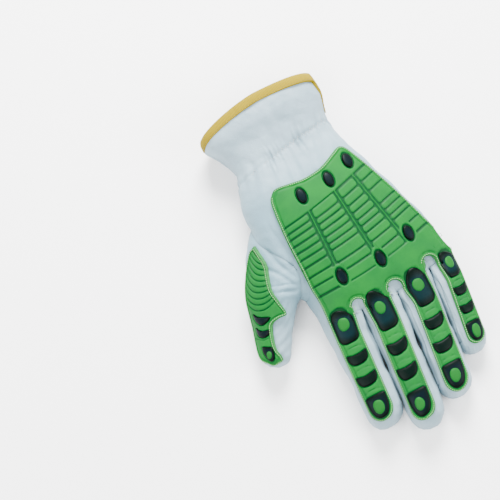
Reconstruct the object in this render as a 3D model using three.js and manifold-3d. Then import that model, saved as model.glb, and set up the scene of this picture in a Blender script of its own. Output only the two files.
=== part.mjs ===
// A leather work glove for the left hand with moulded impact guards, lying palm down, in millimetres.
// +Y runs from the cuff to the fingertips, +X points to the thumb side, +Z out of the back of the hand.
// The origin is on the flat of the palm, on the surface that the glove lies on.
import * as THREE from "three";
import { mergeVertices } from "three/addons/utils/BufferGeometryUtils.js";
import Module from "manifold-3d";

const wasm = await Module();
wasm.setup();

// Sizes of the leather
const handLength = 158; // cuff hem to the finger crotches
const handWidth = 100; // across the knuckles
const handHeight = 37; // palm to back, filled out
const wristWidth = 73;
const wristHeight = 33;
const cuffWidth = 89;
const cuffHeight = 41;
const fingerLength = 91; // middle finger, crotch to tip
const fingerWidth = 26;
const fingerHeight = 23;
const thumbLength = 99; // from inside the hand to the tip
const thumbWidth = 27;
const thumbHeight = 23;
const leather = 1.4;
const clearance = 0.3; // gap that neighbouring pieces keep
const seamGap = 0.4; // gap between two leather panels
const webRun = 16; // length over which the knuckles part into fingers
const slit = 0.9; // half the gap between two neighbouring fingers
const hemBow = 3; // how far the back of the hem bows out
const hemFall = 7; // how far the hem draws back at the thumb side
const ventDepth = 20; // notch in the hem on the little finger side
const gatherDepth = 0.7; // height of the puckers at the wrist
const gatherRun = 11;
const hemRise = 19; // run over which the palm comes down from the lifted hem
const fingerPower = 0.88; // below one makes a section squarer
const handPower = 0.8;
const tipPower = { start: 2.3, end: 2.1 }; // how bluntly a fingertip closes

// Hollow of the palm under the thumb patch
const palmHollow = {
  height: 3,
  across: 0.25 * handWidth,
  along: 0.56 * handLength,
  width: 0.22 * handWidth,
  length: 0.32 * handLength,
  top: 0.4 * handHeight,
};

// Sizes of what is sewn on
const bindingWidth = 5.5;
const bindingThick = 1;
const patchThick = 1;
const guardLift = 0.6; // gap between the leather and a guard
const guardThick = 2.6;
const guardFloor = 1.2; // rubber left under a pad
const padProud = 0.6; // how far a pad stands above the guard
const buttonProud = 0.7; // how far a button stands above its pad
const stripWidth = 16;
const ovalWidth = 6.2;
const ovalLength = 10.2;
const grooveWidth = 1;
const grooveDepth = 0.8;
const thumbGuardWidth = 21;
const stripRoot = 5; // how far a strip reaches back into the plate
const tongue = 2; // how far short of the crotch the plate's tongues stop
const buttonWidth = 7.6;
const buttonLength = 9;
const thumbButton = 4.5;
const cutOver = 2; // how far above a guard its cuts begin
const step = 0.3; // distance over which a surface's slope is measured

// Where the origin sits: this far from the hem, on the palm
const palmRest = 0.64 * handLength;

// Sections of the hand. thumbSide and littleSide are its reach to either side of the middle line,
// seam is the height of the side seam, rise and depth go up and down from it, and crown moves the
// highest part of the back towards the thumb side.
const handSections = [
  { at: 0.0, thumbSide: 0.49 * cuffWidth, littleSide: 0.49 * cuffWidth,
    seam: 0.5 * cuffHeight, rise: 0.5 * cuffHeight, depth: 0.52 * cuffHeight, crown: 0 },
  { at: 0.08, thumbSide: 0.5 * cuffWidth, littleSide: 0.49 * cuffWidth,
    seam: 0.49 * cuffHeight, rise: 0.48 * cuffHeight, depth: 0.51 * cuffHeight, crown: 0 },
  { at: 0.15, thumbSide: 0.53 * wristWidth, littleSide: 0.555 * wristWidth,
    seam: 0.56 * wristHeight, rise: 0.53 * wristHeight, depth: 0.54 * wristHeight, crown: 0.02 },
  { at: 0.235, thumbSide: 0.455 * wristWidth, littleSide: 0.545 * wristWidth,
    seam: 0.53 * wristHeight, rise: 0.48 * wristHeight, depth: 0.48 * wristHeight, crown: 0.05 },
  { at: 0.285, thumbSide: 0.36 * handWidth, littleSide: 0.415 * handWidth,
    seam: 0.47 * handHeight, rise: 0.46 * handHeight, depth: 0.46 * handHeight, crown: 0.08 },
  { at: 0.39, thumbSide: 0.41 * handWidth, littleSide: 0.476 * handWidth,
    seam: 0.46 * handHeight, rise: 0.53 * handHeight, depth: 0.49 * handHeight, crown: 0.14 },
  { at: 0.53, thumbSide: 0.43 * handWidth, littleSide: 0.556 * handWidth,
    seam: 0.44 * handHeight, rise: 0.56 * handHeight, depth: 0.49 * handHeight, crown: 0.2 },
  { at: 0.65, thumbSide: 0.4 * handWidth, littleSide: 0.622 * handWidth,
    seam: 0.41 * handHeight, rise: 0.54 * handHeight, depth: 0.46 * handHeight, crown: 0.23 },
  { at: 0.81, thumbSide: 0.325 * handWidth, littleSide: 0.685 * handWidth,
    seam: 0.37 * handHeight, rise: 0.48 * handHeight, depth: 0.42 * handHeight, crown: 0.25 },
  { at: 1.0, thumbSide: 0.295 * handWidth, littleSide: 0.705 * handWidth,
    seam: 0.33 * handHeight, rise: 0.36 * handHeight, depth: 0.36 * handHeight, crown: 0.25 },
];

// The four fingers from the thumb side, as shares of the middle finger's sizes. lean is the angle
// from +Y towards the thumb, rolls turn the finger's back towards the little finger side, strip is
// the share of the strips' width, shift moves the strip to the thumb side and bare is the leather
// left at the fingertip, in millimetres, and front is the panel that its front belongs to.
const fingers = [
  { name: "index", length: 0.86, width: 1.09, height: 1.0, lean: 3.4,
    rollBase: -4, rollTip: -10, strip: 1, shift: 1.2, bare: 5, front: "palm_leather" },
  { name: "middle", length: 1.0, width: 1.05, height: 1.04, lean: 4.5,
    rollBase: 8, rollTip: -4, strip: 1, shift: 2.6, bare: 6.5, front: "middle_finger_front" },
  { name: "ring", length: 0.92, width: 1.02, height: 0.98, lean: 5.2,
    rollBase: 18, rollTip: 5, strip: 1, shift: 1.4, bare: 4, front: "ring_finger_front" },
  { name: "little", length: 0.73, width: 0.83, height: 0.86, lean: 5.0,
    rollBase: 32, rollTip: 12, strip: 0.76, shift: 0, bare: 5, front: "palm_leather" },
];

// Edges of the fingers where they leave the hand, from the thumb side to the little finger side
const crotches = [
  { across: 0.295 * handWidth, along: 0.99 * handLength },
  { across: 0.016 * handWidth, along: 1.005 * handLength },
  { across: -0.251 * handWidth, along: 1.005 * handLength },
  { across: -0.523 * handWidth, along: 0.977 * handLength },
  { across: -0.697 * handWidth, along: 0.95 * handLength },
];

// A finger's section from its crotch to its tip, as shares of its own sizes
const fingerSections = [
  { at: 0.0, width: 1.0, height: 1.0, seam: 0.5 },
  { at: 0.5, width: 0.96, height: 0.95, seam: 0.46 },
  { at: 1.0, width: 0.88, height: 0.86, seam: 0.41 },
];

// The thumb from inside the hand to its tip, as shares of its own sizes
const thumbAngle = 27;
const thumbRoot = { across: 0.24 * handWidth, along: 0.494 * handLength };
const thumbSections = [
  { at: 0.0, shift: 0.0, width: 1.3, height: 0.85, lift: 0.72, roll: -8 },
  { at: 0.28, shift: 0.05, width: 1.52, height: 1.02, lift: 0.68, roll: -20 },
  { at: 0.45, shift: 0.11, width: 1.46, height: 1.1, lift: 0.64, roll: -32 },
  { at: 0.55, shift: 0.13, width: 1.28, height: 1.1, lift: 0.6, roll: -38 },
  { at: 0.74, shift: 0.08, width: 0.92, height: 0.93, lift: 0.5, roll: -44 },
  { at: 1.0, shift: 0.03, width: 0.74, height: 0.76, lift: 0.4, roll: -46 },
];

// Rows and columns of the leather's faces
const backColumns = 4; // across one finger's back or front
const sideColumns = 2; // across one side
const thumbColumns = 14;
const handRows = [0, 0.045, 0.1, 0.15, 0.195, 0.235, 0.285, 0.36, 0.47, 0.59, 0.71, 0.83, 0.92, 1];
const fingerRows = [0, 0.07, 0.2, 0.43, 0.67, 0.84, 0.93, 0.98];
const thumbRows = [0, 0.15, 0.28, 0.38, 0.47, 0.56, 0.66, 0.76, 0.84, 0.91, 0.96, 0.988];
const fourchetteEnd = 5; // finger row at which a sidewall strip ends
const sideAngle = { hand: 20, fingerBase: 24, fingerTip: 9 }; // half the angle of a side

// Outline of the guard's plate seen from above, from the wrist corner on the thumb side round by
// the wrist, the little finger side and the fingers, as shares of the hand's width and length
const wristEdge = [
  { across: 0.213, along: 0.402 },
  { across: 0.165, along: 0.388 },
  { across: 0.08, along: 0.395 },
  { across: -0.035, along: 0.404 },
  { across: -0.17, along: 0.392 },
  { across: -0.3, along: 0.352 },
  { across: -0.35, along: 0.343 },
];
const littleEdge = [
  { across: -0.4, along: 0.385 },
  { across: -0.48, along: 0.494 },
  { across: -0.575, along: 0.652 },
  { across: -0.66, along: 0.812 },
  { across: -0.725, along: 0.905 },
];
const thumbEdge = [
  { across: 0.248, along: 0.9 },
  { across: 0.267, along: 0.755 },
  { across: 0.261, along: 0.566 },
  { across: 0.241, along: 0.437 },
];

// The dark ovals of the plate: two rows of three, between the lines of the fingers
const ovals = [
  { across: 0.038, along: 0.47 },
  { across: -0.178, along: 0.456 },
  { across: -0.353, along: 0.415 },
  { across: 0.046, along: 0.847 },
  { across: -0.24, along: 0.853 },
  { across: -0.491, along: 0.808 },
];

// Grooves across the plate: each runs over the hand on a slanted bow that flattens to the fingers
const grooveSpan = { from: 0.533, to: 0.8, count: 5 };
const grooveSlant = { wrist: 0.183, fingers: 0.07 };
const grooveBow = 0.22;
const groovePlaces = [0.2, 0, -0.2, -0.4, -0.6]; // shares of the hand's width

// Pads of a finger strip from the hand to the tip, as shares of the strip: a long capsule, two
// half moons with their flat side to the hand, and a tip pad that is flat on that side too. The
// capsule begins on the knuckle.
const stripPads = [
  { from: -0.115, to: 0.245, round: "both" },
  { from: 0.34, to: 0.455, round: "end" },
  { from: 0.55, to: 0.665, round: "end" },
  { from: 0.765, to: 0.97, round: "end" },
];
const padWidth = 0.7; // share of the strip's width
const baseButton = 5; // middle of the first button, along from the crotch
const tipButton = 0.54; // middle of the last button, as a share of its pad
const padArc = [1, 0.72, 0]; // rows of a round end
const stripRows = [0.07, 0.3, 0.52, 0.75];
const tipRows = [0, 0.55, 0.88, 1];
const ovalSides = 8;
const notchSteps = 4; // corners of the notch between two tongues

// The thumb's guard along the thumb, as shares of the thumb's length and the guard's width: its
// reach outwards and towards the palm
const thumbGuardSections = [
  { at: 0.18, outer: 0.36, inner: -0.3 },
  { at: 0.22, outer: 0.5, inner: -0.2 },
  { at: 0.3, outer: 0.56, inner: 0.02 },
  { at: 0.4, outer: 0.54, inner: 0.16 },
  { at: 0.5, outer: 0.5, inner: 0.36 },
  { at: 0.58, outer: 0.46, inner: 0.64 },
  { at: 0.655, outer: 0.43, inner: 0.84 },
  { at: 0.685, outer: 0.42, inner: 0.58 },
  { at: 0.72, outer: 0.4, inner: 0.38 },
  { at: 0.77, outer: 0.38, inner: 0.34 },
  { at: 0.85, outer: 0.32, inner: 0.38 },
  { at: 0.92, outer: 0.22, inner: 0.44 },
  { at: 0.95, outer: 0.08, inner: 0.36 },
  { at: 0.965, outer: -0.08, inner: 0.2 },
];
const thumbGuardAngle = 85; // where its middle lies round the thumb
const thumbPads = [
  { from: 0.65, to: 0.705, round: "none", across: -0.07, width: 0.46 },
  { from: 0.745, to: 0.795, round: "none", across: -0.07, width: 0.46 },
  { from: 0.86, to: 0.93, round: "end", across: -0.12, width: 0.34 },
];
const thumbRibs = { from: 0.28, to: 0.58, count: 5, width: 0.8 };

// Outline of the leaf of leather over the seam between the thumb and the palm
const patchOutline = [
  { across: 0.3, along: 0.755 },
  { across: 0.2, along: 0.7 },
  { across: 0.155, along: 0.6 },
  { across: 0.15, along: 0.5 },
  { across: 0.2, along: 0.39 },
  { across: 0.29, along: 0.47 },
  { across: 0.335, along: 0.6 },
];
const patchPoints = 14;


const green = { color: 0x4caf50, roughness: 0.55 };
const black = { color: 0x16242c, roughness: 0.5 };
const hide = { color: 0xd6dde2, roughness: 0.75 };
const gold = { color: 0xd6be50, roughness: 0.8 };

const radians = THREE.MathUtils.degToRad;
const mix = THREE.MathUtils.lerp;

function ease(share) {
  return THREE.MathUtils.smoothstep(share, 0, 1);
}

// Every column of a table at a share of its length, on a smooth curve through its rows
function between(rows, at) {
  const last = rows.length - 1;
  const place = THREE.MathUtils.clamp(at, rows[0].at, rows[last].at);
  const i = Math.min(rows.findLastIndex((row) => row.at <= place), last - 1);
  const span = rows[i + 1].at - rows[i].at;
  const t = (place - rows[i].at) / span;
  const slope = (j, key) => {
    const a = rows[Math.max(j - 1, 0)];
    const b = rows[Math.min(j + 1, last)];
    return (b[key] - a[key]) / (b.at - a.at);
  };
  const values = {};
  for (const key of Object.keys(rows[0])) {
    const start = rows[i][key];
    const end = rows[i + 1][key];
    const bend = t * t * (3 - 2 * t);
    values[key] = mix(start, end, bend)
      + span * (t * (1 - t) * (1 - t) * slope(i, key) - t * t * (1 - t) * slope(i + 1, key));
  }
  return values;
}

// A rounded box section: a circle whose cosine and sine are raised to a power below one
function boxy(angle, power) {
  const c = Math.cos(angle);
  const s = Math.sin(angle);
  return { across: Math.sign(c) * Math.abs(c) ** power, up: Math.sign(s) * Math.abs(s) ** power };
}

// Leather that would pass through the surface it lies on is flattened there. The hem is lifted by
// its binding, and the palm by the hollow under the thumb patch.
function settle(point) {
  const hemLift = bindingThick + clearance;
  const hem = hemLift * (1 - ease((point.y - 1.5 * bindingWidth) / hemRise));
  const low = Math.max(point.z, hem);
  const u = (point.x - palmHollow.across) / palmHollow.width;
  const v = (point.y - palmHollow.along) / palmHollow.length;
  const under = (1 - ease(low / palmHollow.top)) * (1 - ease(u ** 4 + v ** 4));
  return new THREE.Vector3(point.x, point.y, low + palmHollow.height * under);
}

// Columns round the hand: the back of each finger, the little finger side, the fronts, the thumb side
function handColumns() {
  const list = [];
  for (let k = 0; k < 4; k++) {
    for (let j = 0; j < backColumns; j++) {
      list.push({ zone: "back", finger: k, share: j / backColumns });
    }
  }
  for (let j = 0; j < sideColumns; j++) {
    list.push({ zone: "littleSide", finger: 3, share: j / sideColumns });
  }
  for (let k = 3; k >= 0; k--) {
    for (let j = 0; j < backColumns; j++) {
      list.push({ zone: "front", finger: k, share: j / backColumns });
    }
  }
  for (let j = 0; j < sideColumns; j++) {
    list.push({ zone: "thumbSide", finger: 0, share: j / sideColumns });
  }
  return list;
}

// Columns round one finger, in the same order
function fingerColumns(k) {
  const list = [];
  for (const zone of ["back", "littleSide", "front", "thumbSide"]) {
    const count = zone === "back" || zone === "front" ? backColumns : sideColumns;
    for (let j = 0; j < count; j++) list.push({ zone, finger: k, share: j / count });
  }
  return list;
}

// Angle of a column in a section whose sides take up the given half angle
function columnAngle(zone, share, start, end, half) {
  if (zone === "back") return mix(start, end, share);
  if (zone === "littleSide") return mix(Math.PI - half, Math.PI + half, share);
  if (zone === "front") return 2 * Math.PI - mix(end, start, share);
  return mix(2 * Math.PI - half, 2 * Math.PI + half, share);
}

// Middle, sizes and roll of finger k's section at a share of its length
function fingerFrame(k, share) {
  const finger = fingers[k];
  const near = crotches[k];
  const far = crotches[k + 1];
  const length = finger.length * fingerLength;
  const root = { x: (near.across + far.across) / 2, y: (near.along + far.along) / 2 };
  const section = between(fingerSections, share);
  const half = (section.width * finger.width * fingerWidth) / 2;
  const left = (1 - share) * length;
  const round = Math.min(left / half, 1);
  const tip = (1 - (1 - round) ** tipPower.start) ** (1 / tipPower.end);
  return {
    x: root.x + Math.tan(radians(finger.lean)) * share * length,
    y: root.y + share * length,
    z: section.seam * finger.height * fingerHeight,
    half: half * tip,
    rise: 0.5 * section.height * finger.height * fingerHeight * tip,
    roll: radians(mix(finger.rollBase, finger.rollTip, share)),
    length,
  };
}

function fingerPoint(k, share, zone, columnShare) {
  const frame = fingerFrame(k, share);
  const half = radians(mix(sideAngle.fingerBase, sideAngle.fingerTip, ease(share)));
  const angle = columnAngle(zone, columnShare, half, Math.PI - half, half);
  const ring = boxy(angle, fingerPower);
  const across = ring.across * frame.half;
  const up = ring.up * frame.rise;
  return new THREE.Vector3(
    frame.x + across * Math.cos(frame.roll) - up * Math.sin(frame.roll),
    frame.y,
    frame.z + across * Math.sin(frame.roll) + up * Math.cos(frame.roll),
  );
}

// The line down the web between finger k - 1 and finger k, from the back to the palm
function webPoint(k, share) {
  const side = (finger, zone, t) => fingerPoint(finger, 0, zone, t);
  const top = side(k - 1, "littleSide", 0).add(side(k, "thumbSide", 1)).multiplyScalar(0.5);
  const low = side(k - 1, "littleSide", 1).add(side(k, "thumbSide", 0)).multiplyScalar(0.5);
  const z = mix(top.z, low.z, share);
  return new THREE.Vector3(crotches[k].across, crotches[k].along, z);
}

// How far a corner of finger k's root section moves to meet its neighbour
function webMove(k, zone, share) {
  const outer = (k === 0 && zone === "thumbSide") || (k === 3 && zone === "littleSide");
  const here = fingerPoint(k, 0, zone, share);
  if (outer) {
    const edge = zone === "thumbSide" ? crotches[0] : crotches[4];
    return new THREE.Vector3(0, edge.along - here.y, 0);
  }
  const target = zone === "thumbSide" ? webPoint(k, 1 - share) : webPoint(k + 1, share);
  return target.sub(here);
}

// A point of finger k's skin. Near the crotch the section is drawn over to its neighbours.
function fingerSkin(k, share, zone, columnShare) {
  const point = fingerPoint(k, share, zone, columnShare);
  const length = fingers[k].length * fingerLength;
  const pull = 1 - ease((share * length) / webRun);
  const move = new THREE.Vector3();
  if (zone === "back") {
    move.lerpVectors(webMove(k, "thumbSide", 1), webMove(k, "littleSide", 0), columnShare);
  } else if (zone === "front") {
    move.lerpVectors(webMove(k, "littleSide", 1), webMove(k, "thumbSide", 0), columnShare);
  } else {
    move.copy(webMove(k, zone, columnShare));
  }
  const along = move.y * (1 - share);
  point.add(new THREE.Vector3(move.x * pull, along, move.z * pull));
  const room = slit * (1 - pull);
  const frame = fingerFrame(k, share);
  const narrow = frame.half > 0 ? 1 - room / Math.max(frame.half, room) : 1;
  point.x = mix(frame.x, point.x, narrow);
  return settle(point);
}

// Distance of the hem from the cuff line at an angle round the cuff: bowed at the back, notched on
// the little finger side and drawn back on the thumb side
function hemAt(angle) {
  const turn = Math.abs(angle - Math.PI) / radians(sideAngle.hand);
  const back = Math.max(Math.sin(angle), 0);
  const thumbSide = Math.max(Math.cos(angle), 0);
  return ventDepth * ease(1 - turn) - hemBow * back + hemFall * thumbSide;
}

// Angles round the hand at which the fingers' edges lie, from their places across the knuckles
const knuckles = handSections[handSections.length - 1];
const knuckleMiddle = (knuckles.thumbSide - knuckles.littleSide) / 2;
const knuckleHalf = (knuckles.thumbSide + knuckles.littleSide) / 2;
const fingerEdges = crotches.map((crotch, k) => {
  if (k === 0) return radians(sideAngle.hand);
  if (k === 4) return Math.PI - radians(sideAngle.hand);
  const across = (crotch.across - knuckleMiddle) / knuckleHalf;
  return Math.acos(Math.sign(across) * Math.abs(across) ** (1 / handPower));
});

// A point of the hand's skin. Over the last stretch it parts into the four fingers' root sections.
function handSkin(share, column) {
  const { zone, finger, share: columnShare } = column;
  const angle = columnAngle(zone, columnShare, fingerEdges[finger], fingerEdges[finger + 1],
    radians(sideAngle.hand));
  const root = fingerSkin(finger, 0, zone, columnShare);
  const y = mix(hemAt(angle), root.y, share);
  const section = between(handSections, y / handLength);
  const ring = boxy(angle, handPower);
  const middle = (section.thumbSide - section.littleSide) / 2;
  const half = (section.thumbSide + section.littleSide) / 2;
  const tall = ring.up > 0 ? section.rise * (1 + section.crown * ring.across) : section.depth;
  const wave = Math.cos(2 * Math.PI * 2 * columnShare);
  const near = Math.exp(-(((y - handSections[3].at * handLength) / gatherRun) ** 2));
  const pucker = (gatherDepth * wave * near) / handWidth;
  const point = new THREE.Vector3(
    middle + half * ring.across * (1 + pucker),
    y,
    section.seam + tall * ring.up * (1 + (pucker * handWidth) / handHeight),
  );
  const part = ease((y - root.y + webRun) / webRun) ** 1.5;
  return settle(point).lerp(root, part);
}

// Collects faces whose corners are points, joins equal points, and works out a normal at each
class Skin {
  constructor() {
    this.points = [];
    this.faces = [];
    this.directions = new Map();
    this.index = new Map();
  }

  corner(point) {
    const key = [point.x, point.y, point.z].map((value) => Math.round(value * 1000)).join(" ");
    if (!this.index.has(key)) {
      this.index.set(key, this.points.length);
      this.points.push(point.clone());
    }
    return this.index.get(key);
  }

  add(tags, corners) {
    const ids = corners.map((point) => this.corner(point));
    const ring = ids.filter((id, i) => id !== ids[(i + 1) % ids.length]);
    this.faces.push({ ...tags, ids: ring });
  }

  // Fixes the direction in which a point moves when the wall gets its thickness
  steer(point, direction) {
    this.directions.set(this.corner(point), direction);
  }

  finish() {
    this.normals = this.points.map(() => new THREE.Vector3());
    for (const face of this.faces) {
      const area = areaOf(face.ids.map((id) => this.points[id]));
      for (const id of face.ids) this.normals[id].add(area);
    }
    this.normals.forEach((normal) => normal.normalize());
    for (const [id, direction] of this.directions) this.normals[id].copy(direction);
    return this;
  }
}

// Half the sum of the cross products round a polygon: its area times its normal
function areaOf(corners) {
  const sum = new THREE.Vector3();
  for (let i = 1; i < corners.length - 1; i++) {
    const a = corners[i].clone().sub(corners[0]);
    const b = corners[i + 1].clone().sub(corners[0]);
    sum.add(a.cross(b));
  }
  return sum.multiplyScalar(0.5);
}

// Which leather panel a face of finger k belongs to
function panelOf(k, zone, row, column) {
  const front = fingers[k].front;
  if (zone === "back") return "back_leather";
  if (zone === "front") return front;
  const outer = (k === 0 && zone === "thumbSide") || (k === 3 && zone === "littleSide");
  const upper = zone === "littleSide" ? column < sideColumns / 2 : column >= sideColumns / 2;
  if (!outer && row < fourchetteEnd) {
    const near = zone === "littleSide" ? k : k - 1;
    return `fourchette_${fingers[near].name}_${fingers[near + 1].name}`;
  }
  return upper ? "back_leather" : front;
}

function gloveSkin() {
  const skin = new Skin();
  const columns = handColumns();
  const rings = handRows.map((share) => columns.map((column) => handSkin(share, column)));
  for (let r = 0; r < handRows.length - 1; r++) {
    columns.forEach((column, c) => {
      const next = (c + 1) % columns.length;
      const inSide = Math.round(column.share * sideColumns);
      let panel = column.zone === "back" ? "back_leather" : "palm_leather";
      if (column.zone === "littleSide" && inSide < sideColumns / 2) panel = "back_leather";
      if (column.zone === "thumbSide" && inSide >= sideColumns / 2) panel = "back_leather";
      skin.add({ panel, zone: column.zone, finger: column.finger, region: "hand" },
        [rings[r][next], rings[r][c], rings[r + 1][c], rings[r + 1][next]]);
    });
  }
  for (let k = 0; k < 4; k++) {
    const ring = fingerColumns(k);
    const rows = fingerRows.map((share) => ring.map((c) => fingerSkin(k, share, c.zone, c.share)));
    const tip = fingerSkin(k, 1, "back", 0.5);
    for (let r = 0; r < fingerRows.length; r++) {
      ring.forEach((column, c) => {
        const next = (c + 1) % ring.length;
        const inSide = Math.round(column.share * sideColumns);
        const panel = panelOf(k, column.zone, r, inSide);
        const tags = { panel, zone: column.zone, finger: k, region: "finger" };
        const ahead = r + 1 < fingerRows.length ? [rows[r + 1][c], rows[r + 1][next]] : [tip];
        skin.add(tags, [rows[r][next], rows[r][c], ...ahead]);
      });
    }
  }
  for (let k = 1; k < 4; k++) {
    for (let j = 0; j <= sideColumns; j++) {
      const up = j === 0 ? 1 : 0;
      const down = j === sideColumns ? 1 : 0;
      skin.steer(settle(webPoint(k, j / sideColumns)), new THREE.Vector3(0, 1, up - down));
    }
  }
  return skin.finish();
}

// A mesh from corner points and faces given by their numbers
function meshOf(points, faces) {
  const geometry = new THREE.BufferGeometry();
  const numbers = points.flatMap((point) => [point.x, point.y, point.z]);
  geometry.setAttribute("position", new THREE.Float32BufferAttribute(numbers, 3));
  geometry.setIndex(faces.flatMap((ids) => ids.slice(2).flatMap((id, i) => [ids[0], ids[i + 1], id])));
  return geometry;
}

// Edges of a set of faces that only one of them uses, each with its face
function openEdges(faces) {
  const edges = new Map();
  for (const face of faces) {
    face.ids.forEach((id, i) => {
      const next = face.ids[(i + 1) % face.ids.length];
      edges.set(`${id} ${next}`, { from: id, to: next, face });
    });
  }
  return [...edges.values()].filter(({ from, to }) => !edges.has(`${to} ${from}`));
}

// One layer of a wall: the skin's points moved out by a height, and drawn in at the open edges
function layer(skin, faces, edges, height, inset) {
  const lifted = (id) => skin.points[id].clone().addScaledVector(skin.normals[id], height);
  const inward = new Map();
  for (const { from, to, face } of edges) {
    const normal = areaOf(face.ids.map(lifted)).normalize();
    const left = normal.cross(lifted(to).sub(lifted(from)).normalize());
    for (const id of [from, to]) inward.set(id, [...(inward.get(id) ?? []), left]);
  }
  const places = new Map();
  for (const id of new Set(faces.flatMap((face) => face.ids))) {
    const sides = inward.get(id) ?? [];
    const move = new THREE.Vector3();
    sides.forEach((side) => move.add(side));
    if (sides.length > 0) move.multiplyScalar(inset / Math.max(move.lengthSq() / sides.length, 0.5));
    places.set(id, lifted(id).add(move));
  }
  return places;
}

// A closed wall from some of a skin's faces, between two heights above the skin. Its edges are
// drawn in by the given inset, which leaves a gap to the next panel.
function wall(skin, faces, low, high, inset) {
  const edges = openEdges(faces);
  const upper = layer(skin, faces, edges, high, inset);
  const lower = layer(skin, faces, edges, low, inset);
  const ids = [...upper.keys()];
  const points = ids.flatMap((id) => [upper.get(id), lower.get(id)]);
  const numbers = new Map(ids.map((id, i) => [id, i]));
  const top = (id) => 2 * numbers.get(id);
  const bottom = (id) => 2 * numbers.get(id) + 1;
  const out = [];
  for (const face of faces) {
    out.push(face.ids.map(top));
    for (let i = 2; i < face.ids.length; i++) {
      out.push([bottom(face.ids[i]), bottom(face.ids[i - 1]), bottom(face.ids[0])]);
    }
  }
  // Both panels at a seam split its twisted wall along the same diagonal
  for (const { from, to } of edges) {
    const start = from < to ? [top(from), bottom(from), bottom(to), top(to)]
      : [bottom(from), bottom(to), top(to), top(from)];
    out.push(start);
  }
  return meshOf(points, out);
}

// A closed solid filling a skin, with its open end capped from the middle
function filled(skin, grow) {
  const points = skin.points.map((point, i) => point.clone().addScaledVector(skin.normals[i], grow));
  const faces = skin.faces.map((face) => face.ids);
  const rim = openEdges(skin.faces);
  if (rim.length > 0) {
    const middle = new THREE.Vector3();
    rim.forEach(({ from }) => middle.addScaledVector(points[from], 1 / rim.length));
    points.push(middle);
    rim.forEach(({ from, to }) => faces.push([to, from, points.length - 1]));
  }
  return meshOf(points, faces);
}

function solidOf(geometry) {
  const plain = new THREE.BufferGeometry();
  plain.setAttribute("position", geometry.getAttribute("position"));
  plain.setIndex(geometry.getIndex());
  const merged = mergeVertices(plain, 1e-4);
  const vertProperties = Float32Array.from(merged.getAttribute("position").array);
  const triVerts = Uint32Array.from(merged.getIndex().array);
  return new wasm.Manifold(new wasm.Mesh({ numProp: 3, vertProperties, triVerts }));
}

// Geometry of the largest body of a solid, so that no crumb of a cut stays with it
function geometryOf(solid) {
  const bodies = solid.decompose().sort((a, b) => b.volume() - a.volume());
  const mesh = bodies[0].getMesh();
  const geometry = new THREE.BufferGeometry();
  geometry.setAttribute("position", new THREE.Float32BufferAttribute(mesh.vertProperties, 3));
  geometry.setIndex(Array.from(mesh.triVerts));
  return geometry;
}

// Middle, sizes and roll of the thumb's section
function thumbFrame(share) {
  const section = between(thumbSections, share);
  const angle = radians(thumbAngle);
  const half = (section.width * thumbWidth) / 2;
  const left = (1 - share) * thumbLength;
  const round = Math.min(left / (0.75 * half), 1);
  const tip = (1 - (1 - round) ** tipPower.start) ** (1 / tipPower.end);
  const along = new THREE.Vector3(Math.sin(angle), Math.cos(angle), 0);
  const side = new THREE.Vector3(Math.cos(angle), -Math.sin(angle), 0);
  const middle = new THREE.Vector3(thumbRoot.across, thumbRoot.along, section.lift * thumbHeight)
    .addScaledVector(along, share * thumbLength)
    .addScaledVector(side, section.shift * thumbWidth);
  const roll = radians(-section.roll);
  const up = new THREE.Vector3(0, 0, Math.cos(roll)).addScaledVector(side, Math.sin(roll));
  const right = new THREE.Vector3(0, 0, -Math.sin(roll)).addScaledVector(side, Math.cos(roll));
  return { middle, up, right, half: half * tip, rise: (section.height * thumbHeight * tip) / 2 };
}

function thumbPoint(share, angle) {
  const frame = thumbFrame(share);
  const ring = boxy(angle, fingerPower);
  const point = frame.middle.clone()
    .addScaledVector(frame.right, ring.across * frame.half)
    .addScaledVector(frame.up, ring.up * frame.rise);
  point.z = Math.max(point.z, 0);
  return point;
}

function thumbSkin() {
  const skin = new Skin();
  const angles = Array.from({ length: thumbColumns }, (_, c) => (2 * Math.PI * c) / thumbColumns);
  const rings = thumbRows.map((share) => angles.map((angle) => thumbPoint(share, angle)));
  const tip = thumbPoint(1, 0);
  rings.forEach((ring, r) => {
    ring.forEach((point, c) => {
      const next = (c + 1) % ring.length;
      const ahead = r + 1 < rings.length ? [rings[r + 1][c], rings[r + 1][next]] : [tip];
      skin.add({}, [ring[next], point, ...ahead]);
    });
  });
  return skin.finish();
}

// A surface that follows finger k's back: along from the crotch in millimetres, and across towards
// the thumb from the middle of the strip
function fingerBack(k) {
  const length = fingers[k].length * fingerLength;
  const rootAlong = (crotches[k].along + crotches[k + 1].along) / 2;
  return (along, across) => {
    const share = Math.max(along / length, 0);
    const frame = fingerFrame(k, Math.min(share, 0.8));
    const side = radians(mix(sideAngle.fingerBase, sideAngle.fingerTip, ease(share)));
    const place = across + fingers[k].shift;
    const columnShare = 0.5 - place / (frame.half * (Math.PI - 2 * side));
    if (along >= 0) return fingerSkin(k, share, "back", columnShare);
    return handSkin(1 + along / rootAlong, { zone: "back", finger: k, share: columnShare });
  };
}

// A surface that follows the thumb's back, with across reaching outwards
function thumbBack(along, across) {
  const frame = thumbFrame(Math.min(along / thumbLength, 0.8));
  const turn = across / ((frame.half + frame.rise) / 2);
  return thumbPoint(along / thumbLength, radians(thumbGuardAngle) - turn);
}

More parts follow.
